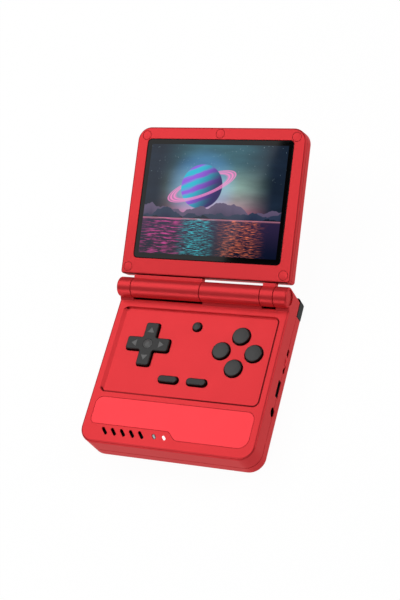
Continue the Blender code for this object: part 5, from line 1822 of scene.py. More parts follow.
@dataclass(frozen=True)
class BaseShell(Assembly):
    """Both halves of the base's red shell, with the bright front panel and the battery door."""

    openings: SideOpenings = SideOpenings()
    hinge: HingeBlock = HingeBlock()
    recess_foot: float = 0.00035
    recess_rim: float = 0.00022
    slope_run: float = 0.0014
    room_corner: float = 0.0054
    small_corner: float = 0.0002
    hinge_wall: float = 0.0018
    rear_ceiling: float = 0.0123
    lap_inset: float = 0.0007
    lap_height: float = 0.0013
    lip: float = 0.0010
    panel_side_margin: float = 0.0035
    panel_front: float = 0.0050
    panel_to_recess: float = 0.0024
    panel_step: float = 0.0037
    panel_step_start: float = 0.00087
    panel_step_run: float = 0.0034
    panel_step_radius: float = 0.0030
    panel_corner: float = 0.0024
    panel_rear_corner: float = 0.0035
    panel_front_corner: float = 0.0047
    panel_thickness: float = 0.0009
    panel_gap_share: float = 0.3
    slot_first: float = -0.0292
    slot_pitch: float = 0.0044
    slot_count: int = 5
    slot_length: float = 0.0040
    slot_width: float = 0.00125
    slant: float = math.radians(-49)
    lamps: Point2 = (-0.0053, -0.0007)
    lamp_length: float = 0.0023
    lamp_width: float = 0.0011
    lamp_depth: float = 0.0036
    lamp_steps: int = 5
    post_diameter: float = 0.0046
    post_root: float = 0.0018
    post_top: float = 0.00445
    screw_head: float = 0.0030
    well_depth: float = 0.0017
    well_rim: float = 0.00025
    shoulder_rooms: tuple[tuple[float, float, float, float], ...] = (
        (0.0202, 0.0420, 0.0371, 0.0402),
        (0.0376, 0.0420, 0.0319, 0.0376),
    )
    shoulder_floor: float = 0.0015
    shoulder_roof: float = 0.0083
    door_side: float = 0.0260
    door_front: float = -0.0182
    door_rear: float = 0.0168
    door_corner: float = 0.0020
    door_thickness: float = 0.0012
    door_seat: float = 0.0015
    door_ledge: float = 0.0015
    door_tab: float = 0.0064
    door_neck: float = 0.0008
    nose_share: float = 0.98
    door_well: float = 0.0010
    door_hole: float = 0.0010
    ridge_first: float = 0.0100
    ridge_pitch: float = 0.0014
    ridge_count: int = 4
    ridge_length: float = 0.0160
    ridge_width: float = 0.0006
    ridge_depth: float = 0.0002

    def _outer(self, low: float) -> Shape:
        """The top case's outer surface: deck, rounded front and sides, and the hinge barrel.

        Args:
            low: Height of the parting face.

        Returns:
            The solid.
        """
        start, edge = self.hinge.start_y, SIZES.top_edge
        bm = bmesh.new()

        def ring(inset: float, z: float) -> list[bmesh.types.BMVert]:
            """The front and both sides at one height.

            Args:
                inset: How far the walls are drawn in.
                z: The height.

            Returns:
                The points from the left side's rear end to the right side's.
            """
            radius, front = SIZES.front_corner - inset, SIZES.front + SIZES.front_corner
            centre = SIZES.half - SIZES.front_corner
            points = [(-SIZES.half + inset, start)]
            points += arc((-centre, front), radius, -math.pi, -math.pi / 2)
            points += arc((centre, front), radius, -math.pi / 2, 0)
            points += [(SIZES.half - inset, start)]
            return [bm.verts.new((x, y, z)) for x, y in points]

        bends = [(edge * (1 - math.cos(a)), SIZES.height - edge + edge * math.sin(a)) for a in quarter()]
        rings = [ring(inset, z) for inset, z in [(0.0, low)] + bends]
        skin(bm, rings, closed=False)
        bm.faces.new(rings[-1])

        bends = [(edge * (1 - math.sin(a)), edge * (1 - math.cos(a))) for a in quarter()]
        stations = sorted((-SIZES.half + reach, inset) for reach, inset in bends)
        stations += [(-x, inset) for x, inset in stations[::-1]]
        strips = [
            [bm.verts.new((x, y, z)) for y, z in self.hinge.profile(inset, low)] for x, inset in stations
        ]
        skin(bm, strips, closed=False)
        for strip, foot in ((strips[0], rings[0][0]), (strips[-1], rings[0][-1])):
            bm.faces.new(strip + [foot])
        bm.faces.new(rings[0] + [strip[-1] for strip in strips[::-1]])
        shape = Shape(bm).outward()
        rim = [
            line
            for line in shape.bm.edges
            if all(abs(end.co.z - low) < MERGE_DISTANCE for end in line.verts)
        ]
        bmesh.ops.bevel(shape.bm, geom=rim, offset=SOFT_EDGE, segments=RIM_STEPS, profile=0.5, affect="EDGES")
        return shape

    def _panel_outline(self, inset: float) -> Outline:
        """The bright panel's outline, stepped back on the left.

        Args:
            inset: How far it is drawn in.

        Returns:
            The outline.
        """
        side = SIZES.half - self.panel_side_margin - inset
        front = SIZES.front + self.panel_front + inset
        rear = SIZES.recess_front - self.panel_to_recess - inset
        back = front + self.panel_step
        start = self.panel_step_start
        return rounded(
            (
                (-side, back, self.panel_corner - inset),
                (start, back, self.panel_step_radius),
                (start + self.panel_step_run, front, self.panel_step_radius),
                (side, front, self.panel_front_corner - inset),
                (side, rear, self.panel_rear_corner - inset),
                (-side, rear, self.panel_rear_corner - inset),
            )
        )

    def _deck_cutters(self) -> list[Shape]:
        """Make cutters for the recess, panel seat, speaker slots and lamp windows.

        Returns:
            The cutters.
        """
        side, front, rear = SIZES.recess_side, SIZES.recess_front, SIZES.recess_rear

        def recess(inset: float) -> Outline:
            """The recess's plan."""
            corner = SIZES.recess_corner - inset
            return rectangle(-side + inset, side - inset, front + inset, rear - inset, corner)

        whole = Shape.pocket(recess, SIZES.recess_top, SIZES.height, self.recess_rim, self.recess_foot)
        heel, foot, low = -side - OVERRUN, -side + self.slope_run, SIZES.recess_top - OVERRUN
        wedge = [(low, heel), (low, foot), (SIZES.recess_top, foot)]
        wedge += [(SIZES.height, -side), (SIZES.height, heel)]
        slope = Shape.prism(wedge, front - OVERRUN, rear + OVERRUN).along_y()
        seat = SIZES.height - self.panel_thickness - SIZES.gap
        outline = grown(self._panel_outline, SIZES.gap * self.panel_gap_share)
        panel = Shape.pocket(outline, seat, SIZES.height, SOFT_EDGE / 2)
        low = SIZES.ceiling - OVERRUN
        slit = long_hole(0.0, 0.0, self.slot_length, self.slot_width, self.slant)
        slot = Shape.pocket(slit, low, SIZES.height)
        places = [self.slot_first + index * self.slot_pitch for index in range(self.slot_count)]
        spots = [(x, SIZES.speaker_y, 0.0) for x in places]
        slots = Pattern("speaker_slots", slot, self.finishes.deck).on_spots(spots)
        cutters = [whole.cut(slope), panel, slots]
        for x in self.lamps:
            cutters.append(Shape.pocket(self._lamp(x, SIZES.gap / 2), low, SIZES.height, SOFT_EDGE / 2))
        return cutters

    def _lamp(self, x: float, grow: float) -> OutlineMaker:
        """A lamp window, or the lamp in it."""
        length, width = self.lamp_length + 2 * grow, self.lamp_width + 2 * grow
        return long_hole(x, SIZES.speaker_y, length, width, self.slant)

    def _key_cutters(self) -> list[Shape]:
        """Make cutters for the keys' holes in the recess floor.

        Returns:
            The cutters.
        """
        gap = SIZES.button_gap
        x, y, spread = SIZES.buttons_x, SIZES.control_y, SIZES.button_spread
        buttons = ((x + spread, y), (x - spread, y), (x, y + spread), (x, y - spread))
        holes = [round_hole(u, v, SIZES.button_radius + gap) for u, v in buttons]
        holes.append(round_hole(0.0, SIZES.menu_y, SIZES.menu_radius + gap))
        holes += [pill_outline(u, gap) for u in (-SIZES.pill_x, SIZES.pill_x)]
        holes.append(grown(pad_outline, gap))
        return [Shape.pocket(hole, SIZES.ceiling - OVERRUN, SIZES.recess_top) for hole in holes]

    def top(self) -> None:
        """The upper half: deck, hinge barrels and bays."""
        low = SIZES.parting + SIZES.seam
        shape = self._outer(low)
        first, second, third, fourth = SIZES.seams
        shape = shape.cut(self.hinge.bay(first, second), self.hinge.bay(third, fourth))
        ends = ((first, -1), (second, 1), (third, -1), (fourth, 1))
        shape = shape.cut(*[self.hinge.rim(seam, way) for seam, way in ends])

        side = SIZES.half - SIZES.wall
        behind = SIZES.axis_y - SIZES.hinge_radius - self.hinge_wall
        room = rectangle(-side, side, SIZES.front + SIZES.wall, behind, self.room_corner, self.small_corner)
        shape = shape.cut(Shape.prism(room, low - OVERRUN, SIZES.ceiling))
        rear = SIZES.rear - SIZES.wall
        shape = shape.cut(Shape.block(-side, side, behind - OVERRUN, rear, low - OVERRUN, self.rear_ceiling))
        lap = Shape.prism(body_outline(self.lap_inset), low - OVERRUN, SIZES.parting + self.lap_height)
        shape = shape.cut(lap)
        shape = shape.cut(*self._deck_cutters())
        shape = shape.cut(*self._key_cutters())

        axis, outer = (SIZES.axis_y, SIZES.axis_z), SIZES.half + OVERRUN
        pin, clutch = circle(*axis, self.hinge.pin_bore), circle(*axis, self.hinge.clutch_bore)
        left, right = first + SIZES.seam, fourth - SIZES.seam
        bores = ((pin, -outer, left), (pin, right, outer), (clutch, second, third))
        shape = shape.cut(*[Shape.prism(*bore).along_x() for bore in bores])
        seat = SIZES.half - self.hinge.cap_thickness - SIZES.gap
        hole = round_hole(*axis, self.hinge.cap_radius + SIZES.gap / 2)
        cap_seat = Shape.pocket(hole, seat, SIZES.half, SOFT_EDGE / 2).along_x()
        shape = shape.cut(cap_seat.mirrored(), cap_seat)
        shape = shape.cut(*self.openings.cutters())
        self.maker.piece("top_shell", shape, self.finishes.deck, Body.BASE, Slot.SHELL, ["top_case"])

    def bottom(self) -> None:
        """The lower half: a tray with the battery opening, screw wells and shoulder button room."""
        high = SIZES.parting - SIZES.seam
        shape = Shape.moulded(body_outline, 0.0, high, SIZES.bottom_edge, SOFT_EDGE, WIDE_EDGE_STEPS)
        shape = shape.join(Shape.prism(body_outline(self.lip), high - OVERRUN, SIZES.parting + self.lip))
        shape = shape.cut(Shape.prism(body_outline(SIZES.wall), SIZES.floor, SIZES.height))
        radius, head = self.post_diameter / 2, self.screw_head / 2 + SIZES.gap
        posts = [plain_cylinder(radius, self.post_root, self.post_top, x, y) for x, y in SIZES.posts]
        shape = shape.join(*posts)
        wells = [round_hole(x, y, head, SMALL_SIDES) for x, y in SIZES.posts]
        shape = shape.cut(*[underside_pocket(well, self.well_depth, self.well_rim) for well in wells])
        shape = shape.cut(underside_pocket(grown(self._door_outline, SIZES.gap), self.door_seat))
        side, ledge = self.door_side - self.door_ledge, self.door_ledge
        inner = rectangle(-side, side, self.door_front + ledge, self.door_rear - ledge, self.door_corner)
        shape = shape.cut(Shape.prism(inner, self.door_seat / 2, SIZES.floor + OVERRUN))
        shape = shape.cut(*self.openings.cutters())
        for left, right, front, rear in self.shoulder_rooms:
            levels = front, rear, self.shoulder_floor, self.shoulder_roof
            shape = shape.cut(Shape.block(-right, -left, *levels), Shape.block(left, right, *levels))
        self.maker.piece("bottom_shell", shape, self.finishes.tray, Body.BASE, Slot.SHELL, ["bottom_case"])

    def _door_outline(self, inset: float) -> Outline:
        """The battery door with the round tab for its screw at the front.

        Args:
            inset: How far it is drawn in.

        Returns:
            The outline.
        """
        side, front, rear = self.door_side - inset, self.door_front + inset, self.door_rear - inset
        radius, tab, neck = self.door_corner - inset, self.door_tab / 2 - inset, self.door_neck + inset
        nose, turn = self.door_front - self.door_tab / 2 - tab, tab * self.nose_share
        right = ((tab, nose, turn), (tab, front, neck), (side, front, radius), (side, rear, radius))
        left = tuple((-x, y, corner) for x, y, corner in right[::-1])
        return rounded(left[-1:] + right + left[:-1])

    def panel(self) -> None:
        """The bright panel, flush in the deck."""
        low = SIZES.height - self.panel_thickness
        shape = Shape.moulded(self._panel_outline, low, SIZES.height, 0.0, SOFT_EDGE, RIM_STEPS)
        self.maker.piece("front_panel", shape, self.finishes.panel, Body.BASE, Slot.PANEL, ["accent_panel"])

    def lamp_lenses(self) -> None:
        """The two light pipes."""
        finishes = self.finishes.grey_lens, self.finishes.white_lens
        for name, x, finish in zip(("power_lamp", "charge_lamp"), self.lamps, finishes):
            low = SIZES.height - self.lamp_depth
            outline, edge = self._lamp(x, 0.0), SOFT_EDGE * 2
            shape = Shape.moulded(outline, low, SIZES.height, 0.0, edge, self.lamp_steps)
            self.maker.piece(f"{name}_lens", shape, finish, Body.BASE, Slot.LENS, [name])

    def door(self) -> None:
        """The battery door with its screw well and a few grip ridges."""
        shape = Shape.moulded(self._door_outline, 0.0, self.door_thickness, SOFT_EDGE, 0.0, RIM_STEPS)
        y = self.door_front - self.door_tab / 2
        well = round_hole(0.0, y, self.screw_head / 2 + SIZES.gap, SMALL_SIDES)
        shape = shape.cut(underside_pocket(well, self.door_well))
        shape = shape.cut(plain_cylinder(self.door_hole, 0.0, self.door_thickness + OVERRUN, 0.0, y))
        ridge = long_hole(0.0, 0.0, self.ridge_length, self.ridge_width)
        groove = underside_pocket(ridge, self.ridge_depth, SOFT_EDGE / 2)
        spots = [(0.0, self.ridge_first + index * self.ridge_pitch, 0.0) for index in range(self.ridge_count)]
        shape = shape.cut(Pattern("door_ridges", groove, self.finishes.shell).on_spots(spots))
        self.maker.piece("battery_door", shape, self.finishes.shell, Body.BASE, Slot.SHELL, ["battery_cover"])

    def caps(self) -> None:
        """The discs that close the barrel's ends."""
        low, high = SIZES.half - self.hinge.cap_thickness, SIZES.half - self.hinge.cap_sink
        for side in ("left", "right"):
            disc = soft_cylinder(self.hinge.cap_radius, low, high, SOFT_EDGE / 2)
            disc = disc.at(SIZES.axis_y, SIZES.axis_z).along_x()
            if side == "left":
                disc.flipped()
            names = [f"hinge_cap_{side}"]
            self.maker.piece(f"barrel_cap_{side}", disc, self.finishes.shell, Body.BASE, Slot.SHELL, names)

    def build(self) -> None:
        """Build the shell."""
        self.top()
        self.bottom()
        self.panel()
        self.lamp_lenses()
        self.door()
        self.caps()


def pill_outline(x: float, grow: float = 0.0) -> OutlineMaker:
    """A long rounded button's plan, grown by a gap."""
    length, width = SIZES.pill_length + 2 * grow, SIZES.pill_width + 2 * grow
    return long_hole(x, SIZES.pill_y, length, width, 0.0, SIZES.pill_steps)


def pad_outline(inset: float) -> Outline:
    """The directional pad's plan, drawn in all round."""
    span, arm, outer = SIZES.pad_span - 2 * inset, SIZES.pad_arm - 2 * inset, SIZES.pad_corner - inset
    return cross(SIZES.dpad_x, SIZES.control_y, span, arm, outer, SIZES.pad_inner_corner + inset)


@dataclass(frozen=True)
class Keys(Assembly):
    """Everything that is pressed on the deck."""

    rim: float = 0.0011
    pill_rim: float = 0.0008
    join_depth: float = 0.0006
    edge: float = 0.00055
    edge_share: float = 0.22
    crown_steps: int = 8
    pad_flange: float = 0.0130
    plate_thickness: float = 0.00082
    pivot_hole: float = 0.0016
    pivot_top: float = 0.0139
    ball_radius: float = 0.0021
    ball_rise: float = 0.00030
    dish_radius: float = 0.0024
    dish_depth: float = 0.00020
    arrow_size: float = 0.0016
    arrow_length: float = 0.75
    arrow_draw: float = 0.55
    arrow_place: float = 0.0067
    arrow_depth: float = 0.00016
    arrow_corner: float = 0.00012

    def button(self, name: str, x: float, y: float, radius: float, body: Body) -> None:
        """A round button with a low crown and a retaining flange.

        Args:
            name: The CAD node it stands for.
            x: Centre.
            y: Centre.
            radius: Radius over its wall.
            body: The body it rides on.
        """
        edge, steps = min(self.edge, radius * self.edge_share), self.crown_steps
        reach, top, drop = radius - edge, SIZES.control_top, SIZES.button_crown
        points = [(reach * part / steps, top - drop * (part / steps) ** 2) for part in range(steps + 1)]
        bends = quarter()[1:]
        points += [(reach + edge * math.sin(a), top - drop - edge * (1 - math.cos(a))) for a in bends]
        flange = radius + self.rim
        points += [(radius, SIZES.flange_top), (flange, SIZES.flange_top), (flange, SIZES.flange_low)]
        shape = Shape.turned(points + [(0.0, SIZES.flange_low)]).at(x, y)
        self.maker.piece(f"{name}_cap", shape, self.finishes.round_key, body, Slot.BUTTON, [name])

    def pill(self, name: str, x: float, body: Body) -> None:
        """A long rounded button.

        Args:
            name: The CAD node it stands for.
            x: Centre.
            body: The body it rides on.
        """
        outline = pill_outline(x)
        shape = Shape.moulded(outline, SIZES.flange_top - self.join_depth, SIZES.control_top, 0.0, self.edge)
        shape = shape.join(Shape.prism(outline(-self.pill_rim), SIZES.flange_low, SIZES.flange_top))
        self.maker.piece(f"{name}_cap", shape, self.finishes.key, body, Slot.BUTTON, [name])

    def pad(self) -> None:
        """The directional pad with a small arrow on each arm and a domed middle."""
        x, y, top = SIZES.dpad_x, SIZES.control_y, SIZES.control_top
        shape = Shape.moulded(pad_outline, SIZES.flange_low, top, 0.0, self.edge)
        low, above, sides = top - self.dish_depth, top + OVERRUN, SMALL_SIDES * 2
        dish = [(0.0, low), (self.ball_radius, low), (self.dish_radius - SOFT_EDGE, top - SOFT_EDGE / 2)]
        dish += [(self.dish_radius, top + SOFT_EDGE / 4), (self.dish_radius, above), (0.0, above)]
        shape = shape.cut(Shape.turned(dish, sides).at(x, y))
        foot, height = low - self.join_depth / 2, self.ball_rise + self.dish_depth
        ball = [(radius, low + rise) for radius, rise in dome(self.ball_radius, height)]
        ball += [(self.ball_radius, foot), (0.0, foot)]
        shape = shape.join(Shape.turned(ball, sides).at(x, y))
        plate = SIZES.flange_low - SIZES.gap
        shape = shape.join(plain_cylinder(self.pad_flange / 2, plate, plate + self.plate_thickness, x, y))
        shape = shape.cut(plain_cylinder(self.pivot_hole, plate - OVERRUN, self.pivot_top, x, y))
        mark = self.finishes.mark
        arrow = Shape.pocket(self._arrow, top - self.arrow_depth, top, SOFT_EDGE / 2)
        arrows = Pattern("pad_arrows", arrow, mark, Count=4, Radius=self.arrow_place).on_ring()
        shape = shape.cut(arrows.at(x, y))
        # Arrow floors and the dome take lighter finishes, a painted highlight on them.
        for face in shape.bm.faces:
            middle = face.calc_center_median()
            if face.normal.z > FACING_UP and abs(middle.z - (top - self.arrow_depth)) < SMALLEST_RADIUS:
                face.material_index = 1
            elif math.hypot(middle.x - x, middle.y - y) < self.ball_radius and middle.z > low:
                face.material_index = 2
        extra = [mark, self.finishes.ball]
        self.maker.piece("dpad_cross", shape, self.finishes.key, Body.PAD, Slot.BUTTON, ["dpad"], extra)

    def _arrow(self, inset: float) -> Outline:
        """An arrow's plan, pointing along X.

        Args:
            inset: How far it is drawn in.

        Returns:
            The outline.
        """
        size = self.arrow_size - inset / self.arrow_draw
        reach = size * self.arrow_length
        corners = ((reach, 0.0), (-reach, size), (-reach, -size))
        return rounded([(u, v, self.arrow_corner) for u, v in corners], SMALL_ARC_STEP)

    def build(self) -> None:
        """Build all keys."""
        x, y, spread = SIZES.buttons_x, SIZES.control_y, SIZES.button_spread
        places = (
            ("button_a", spread, 0.0, Body.A),
            ("button_b", 0.0, -spread, Body.B),
            ("button_x", 0.0, spread, Body.X),
            ("button_y", -spread, 0.0, Body.Y),
        )
        for name, u, v, body in places:
            self.button(name, x + u, y + v, SIZES.button_radius, body)
        self.button("menu_button", 0.0, SIZES.menu_y, SIZES.menu_radius, Body.MENU)
        self.pill("select_button", -SIZES.pill_x, Body.SELECT)
        self.pill("start_button", SIZES.pill_x, Body.START)
        self.pad()


@dataclass(frozen=True)
class Lid(Assembly):
    """The lid's two halves, its screw covers and the screen."""

    near_corner: float = 0.0014
    split: float = 0.0003
    front_edge: float = 0.0008
    back_edge: float = 0.0009
    wall: float = 0.0015
    tab_sink: float = 0.0003
    strap_back: float = -0.0012
    bore: float = 0.0023
    boss_radius: float = 0.0020
    boss_root: float = 0.0009
    glass_side: float = 0.0355
    glass_far: float = 0.0683
    glass_near: float = 0.0134
    glass_corner: float = 0.0018
    glass_thickness: float = 0.0009
    glass_sink: float = 0.0002
    glass_edge: float = 0.0002
    cover_radius: float = 0.0020
    cover_thickness: float = 0.0005
    cover_gap: float = 0.00014
    cover_rim: float = 0.00006
    seat_room: float = 0.0012
    screw_length: float = 0.0026
    covers: tuple[tuple[str, float, float], ...] = (
        ("top_left", -0.0365, 0.0700),
        ("top_middle", 0.0, 0.0710),
        ("top_right", 0.0365, 0.0700),
        ("lower_left", -0.0376, 0.0091),
        ("lower_right", 0.0376, 0.0091),
    )

    def _outline(self, inset: float) -> Outline:
        """The lid's plan in its own axes."""
        near, far, side = SIZES.lid_near + inset, SIZES.lid_far - inset, SIZES.half - inset
        return rectangle(-side, side, near, far, self.near_corner - inset, SIZES.lid_corner - inset)

    def _glass_outline(self, inset: float) -> Outline:
        """The glass's plan in the lid's axes."""
        side, corner = self.glass_side - inset, self.glass_corner - inset
        return rectangle(-side, side, self.glass_near + inset, self.glass_far - inset, corner)

    def front(self) -> None:
        """The front half with the glass pocket, window and cover seats."""
        face = SIZES.lid_face
        shape = Shape.moulded(self._outline, self.split, face, SOFT_EDGE, self.front_edge)
        floor = face - self.glass_sink - self.glass_thickness - SIZES.gap
        outline = grown(self._glass_outline, SIZES.gap / 2)
        shape = shape.cut(Shape.pocket(outline, floor, face, self.glass_edge))
        side, near, far = SIZES.picture
        window = rectangle(-side, side, near, far, self.glass_edge)
        shape = shape.cut(Shape.prism(window, self.split - OVERRUN, floor + OVERRUN / 2))
        seat, radius = face - self.cover_thickness - self.seat_room, self.cover_radius + self.cover_gap
        holes = [round_hole(x, y, radius) for _, x, y in self.covers]
        shape = shape.cut(*[Shape.pocket(hole, seat, face, self.cover_rim) for hole in holes])
        shape = shape.moved(SIZES.lid_matrix())
        self.maker.piece("lid_bezel", shape, self.finishes.lid, Body.LID, Slot.SHELL, ["lid_front"])

    def _strap(self, inset: float) -> Outline:
        """A strap's section in Y and Z.

        Args:
            inset: How far its outer face is drawn in.

        Returns:
            The section.
        """
        front, near = SIZES.lid_face - self.tab_sink - inset, SIZES.lid_near - SIZES.gap
        inside, step = SIZES.lid_near + self.wall, self.split - SIZES.gap
        back, sharp = self.strap_back, SMALLEST_RADIUS
        corners = (
            (0.0, back, sharp), (inside, back, sharp), (inside, step, sharp),
            (near, step, sharp), (near, front, SOFT_EDGE), (0.0, front, sharp),
        )
        return rounded(corners, SMALL_ARC_STEP)

    def rear(self) -> None:
        """The back half with the straps and moving barrels."""
        top, back = self.split - SIZES.gap, SIZES.lid_back
        shape = Shape.moulded(self._outline, back, top, self.back_edge, SOFT_EDGE, WIDE_EDGE_STEPS)
        shape = shape.cut(Shape.prism(self._outline(self.wall), back + self.wall, SIZES.lid_face))
        root = back + self.boss_root
        shape = shape.join(*[plain_cylinder(self.boss_radius, root, top, x, y) for _, x, y in self.covers])
        first, second, third, fourth = SIZES.seams
        for left, right in ((first, second), (third, fourth)):
            start, end = left + SIZES.seam, right - SIZES.seam
            strap = Shape.moulded(self._strap, start, end, SOFT_EDGE, SOFT_EDGE, RIM_STEPS)
            shape = shape.join(strap.along_x())
            shape = shape.join(soft_cylinder(SIZES.hinge_radius, start, end, SOFT_EDGE).along_x())
            shape = shape.cut(plain_cylinder(self.bore, start - OVERRUN, end + OVERRUN).along_x())
        shape = shape.moved(SIZES.lid_matrix())
        self.maker.piece("lid_shell", shape, self.finishes.shell, Body.LID, Slot.SHELL, ["lid_back"])

    def cover_discs(self) -> None:
        """The five discs over the lid's screws."""
        disc = soft_cylinder(self.cover_radius, -self.cover_thickness, 0.0, SOFT_EDGE / 2)
        spots = [(x, y, SIZES.lid_face) for _, x, y in self.covers]
        shape = Pattern("discs", disc, self.finishes.shell).on_spots(spots).moved(SIZES.lid_matrix())
        names = [f"screw_cover_{name}" for name, _, _ in self.covers]
        self.maker.piece("screw_covers", shape, self.finishes.shell, Body.LID, Slot.SHELL, names)

    def screws(self) -> None:
        """The five screws under the discs."""
        head = SIZES.lid_face - self.cover_thickness - SIZES.gap
        screw = Screw(self.screw_length).shape().upturned()
        spots = [(x, y, head) for _, x, y in self.covers]
        shape = Pattern("lid_screw", screw, self.finishes.steel).on_spots(spots).moved(SIZES.lid_matrix())
        names = [f"lid_screw_{name}" for name, _, _ in self.covers]
        self.maker.piece("lid_screws", shape, self.finishes.steel, Body.LID, Slot.STEEL, names)

    def glass(self) -> None:
        """The cover glass, its UV map laid over the picture."""
        top = SIZES.lid_face - self.glass_sink
        low = top - self.glass_thickness
        shape = Shape.moulded(self._glass_outline, low, top, 0.0, self.glass_edge, RIM_STEPS)
        layer = shape.bm.loops.layers.uv.new("picture")
        side, near, far = SIZES.picture
        for face in shape.bm.faces:
            for loop in face.loops:
                x, y = loop.vert.co.x, loop.vert.co.y
                loop[layer].uv = ((x + side) / (2 * side), (y - near) / (far - near))
        shape = shape.moved(SIZES.lid_matrix())
        self.maker.piece("cover_glass", shape, self.finishes.glass, Body.LID, Slot.GLASS, ["screen_glass"])

    def build(self) -> None:
        """Build the lid."""
        self.front()
        self.rear()
        self.cover_discs()
        self.glass()
        self.screws()
        self.maker.dress(["lcd_panel"], self.finishes.display)


@dataclass(frozen=True)
class Edges(Assembly):
    """Sockets, wheel, slider and shoulder buttons round the base's edges."""

    openings: SideOpenings = SideOpenings()
    charge_skin: float = 0.0002
    charge_depth: float = 0.0073
    set_back: float = 0.0003
    small_edge: float = 0.0001
    tongue: float = 0.0006
    jack_body: float = 0.0025
    jack_bore: float = 0.00175
    jack_length: float = 0.0105
    jack_end: float = 0.0008
    wheel_radius: float = 0.0065
    wheel_x: float = 0.0348
    wheel_thickness: float = 0.0016
    wheel_bore: float = 0.0015
    grooves: int = 36
    groove_radius: float = 0.00035
    groove_depth: float = 0.0002
    contact_count: int = 8
    contact_pitch: float = 0.0005
    contact_width: float = 0.00026
    contact_thickness: float = 0.00005
    contact_start: float = 0.0040
    contact_end: float = 0.0009
    slider_y: float = 0.0105
    knob_length: float = 0.0034
    knob_height: float = 0.0020
    knob_proud: float = 0.0006
    knob_corner: float = 0.0003
    grip_depth: float = 0.00015
    grip_pitch: float = 0.0009
    grip_length: float = 0.0011
    grip_width: float = 0.00026
    grip_steps: int = 8
    plate_length: float = 0.0058
    plate_low: float = 0.0054
    plate_high: float = 0.0085
    plate_thickness: float = 0.0008
    shoulder_length: float = 0.0204
    shoulder_side: float = 0.0072
    shoulder_thickness: float = 0.0026
    shoulder_plate: float = 0.0009
    proud: float = 0.0014
    side_proud: float = 0.0001
    shoulder_low: float = 0.0010
    shoulder_high: float = 0.0072
    shoulder_corner: float = 0.0014
    shoulder_edge: float = 0.0004
    pivot: Point2 = (0.0230, 0.0364)
    pivot_radius: float = 0.0020
    pivot_low: float = 0.0027
    pivot_bore: float = 0.0011

    def charge_port(self) -> None:
        """The charging socket's steel shell, tongue and contacts."""
        mouth = SIZES.half - self.set_back
        back, edge = mouth - self.charge_depth, self.small_edge
        opening, z = self.openings, SIZES.socket_height
        outline = grown(opening.charge_outline, -SIZES.gap / 4)
        shape = Shape.moulded(outline, back, mouth, 0.0, edge, RIM_STEPS)
        inner = Shape.prism(outline(self.charge_skin), back + self.charge_skin, mouth + OVERRUN)
        shape, steel = shape.cut(inner).along_x(), self.finishes.dark_steel
        self.maker.piece("charge_shell", shape, steel, Body.BASE, Slot.STEEL, ["charge_port"])
        reach = opening.charge_width - opening.charge_thickness + self.tongue
        tongue_outline = long_hole(opening.charge_y, z, reach, self.tongue)
        tongue = Shape.moulded(tongue_outline, back + edge, mouth - self.tongue, 0.0, edge, RIM_STEPS)
        self.maker.piece("charge_tongue", tongue.along_x(), self.finishes.black, Body.BASE, Slot.BLACK)
        half, thick = self.contact_width / 2, self.contact_thickness / 2
        strip = Shape.block(-half, half, -thick, thick, mouth - self.contact_start, mouth - self.contact_end)
        length = self.contact_pitch * (self.contact_count - 1)
        sizes = {"Columns": self.contact_count, "Rows": 2, "Length": length, "Width": self.tongue}
        contacts = Pattern("contacts", strip, self.finishes.gold, **sizes).on_grid()
        contacts = contacts.at(opening.charge_y, z).along_x()
        self.maker.piece("charge_contacts", contacts, self.finishes.gold, Body.BASE, Slot.STEEL)

    def jack(self) -> None:
        """The headphone socket's black barrel."""
        face = SIZES.half - SIZES.wall - SIZES.gap
        back = face - self.jack_length
        bore = Shape.pocket(round_hole(0.0, 0.0, self.jack_bore), back + self.jack_end, face, SOFT_EDGE * 1.5)
        shape = soft_cylinder(self.jack_body, back, face, SOFT_EDGE).cut(bore)
        shape = shape.at(self.openings.jack_y, SIZES.socket_height).along_x()
        self.maker.piece("jack_barrel", shape, self.finishes.black, Body.BASE, Slot.BLACK, ["headphone_jack"])

    def wheel(self) -> None:
        """The ridged volume wheel."""
        half = self.wheel_thickness / 2
        shape = soft_cylinder(self.wheel_radius, -half, half, SOFT_EDGE, ROUND_SIDES * 2)
        groove = plain_cylinder(self.groove_radius, -half - OVERRUN, half + OVERRUN)
        reach = self.wheel_radius + self.groove_radius - self.groove_depth
        ring = Pattern("wheel_grooves", groove, self.finishes.shell, Count=self.grooves, Radius=reach)
        shape = shape.cut(ring.on_ring())
        shape = shape.cut(plain_cylinder(self.wheel_bore, -half - OVERRUN, half + OVERRUN))
        shape = shape.at(self.wheel_x, self.openings.wheel_y, self.openings.wheel_z)
        self.maker.piece("wheel_rim", shape, self.finishes.panel, Body.WHEEL, Slot.SHELL, ["volume_wheel"])

    def slider(self) -> None:
        """The power slider's knob with grip ridges, and its inner plate."""
        y, z, black = self.slider_y, SIZES.socket_height, self.finishes.black
        inner = SIZES.half - SIZES.wall - SIZES.gap
        outer = SIZES.half + self.knob_proud
        long, high = self.knob_length / 2, self.knob_height / 2

        def outline(inset: float) -> Outline:
            """The knob's section."""
            reach, rise = long - inset, high - inset
            return rectangle(y - reach, y + reach, z - rise, z + rise, self.knob_corner)

        knob = Shape.moulded(outline, inner - SIZES.gap, outer, 0.0, SOFT_EDGE, RIM_STEPS)
        grip = long_hole(0.0, 0.0, self.grip_length, self.grip_width, math.pi / 2, self.grip_steps)
        groove = Shape.pocket(grip, outer - self.grip_depth, outer, SOFT_EDGE / 3)
        spots = [(y + step * self.grip_pitch, z, 0.0) for step in (-1, 0, 1)]
        knob = knob.cut(Pattern("slider_grip", groove, black).on_spots(spots))
        half = self.plate_length / 2
        plate = (self.plate_low, self.plate_high, inner - self.plate_thickness, inner)
        shape = knob.join(Shape.block(y - half, y + half, *plate)).along_x().flipped()
        self.maker.piece("slider_knob", shape, black, Body.SLIDER, Slot.BUTTON, ["power_slider"])

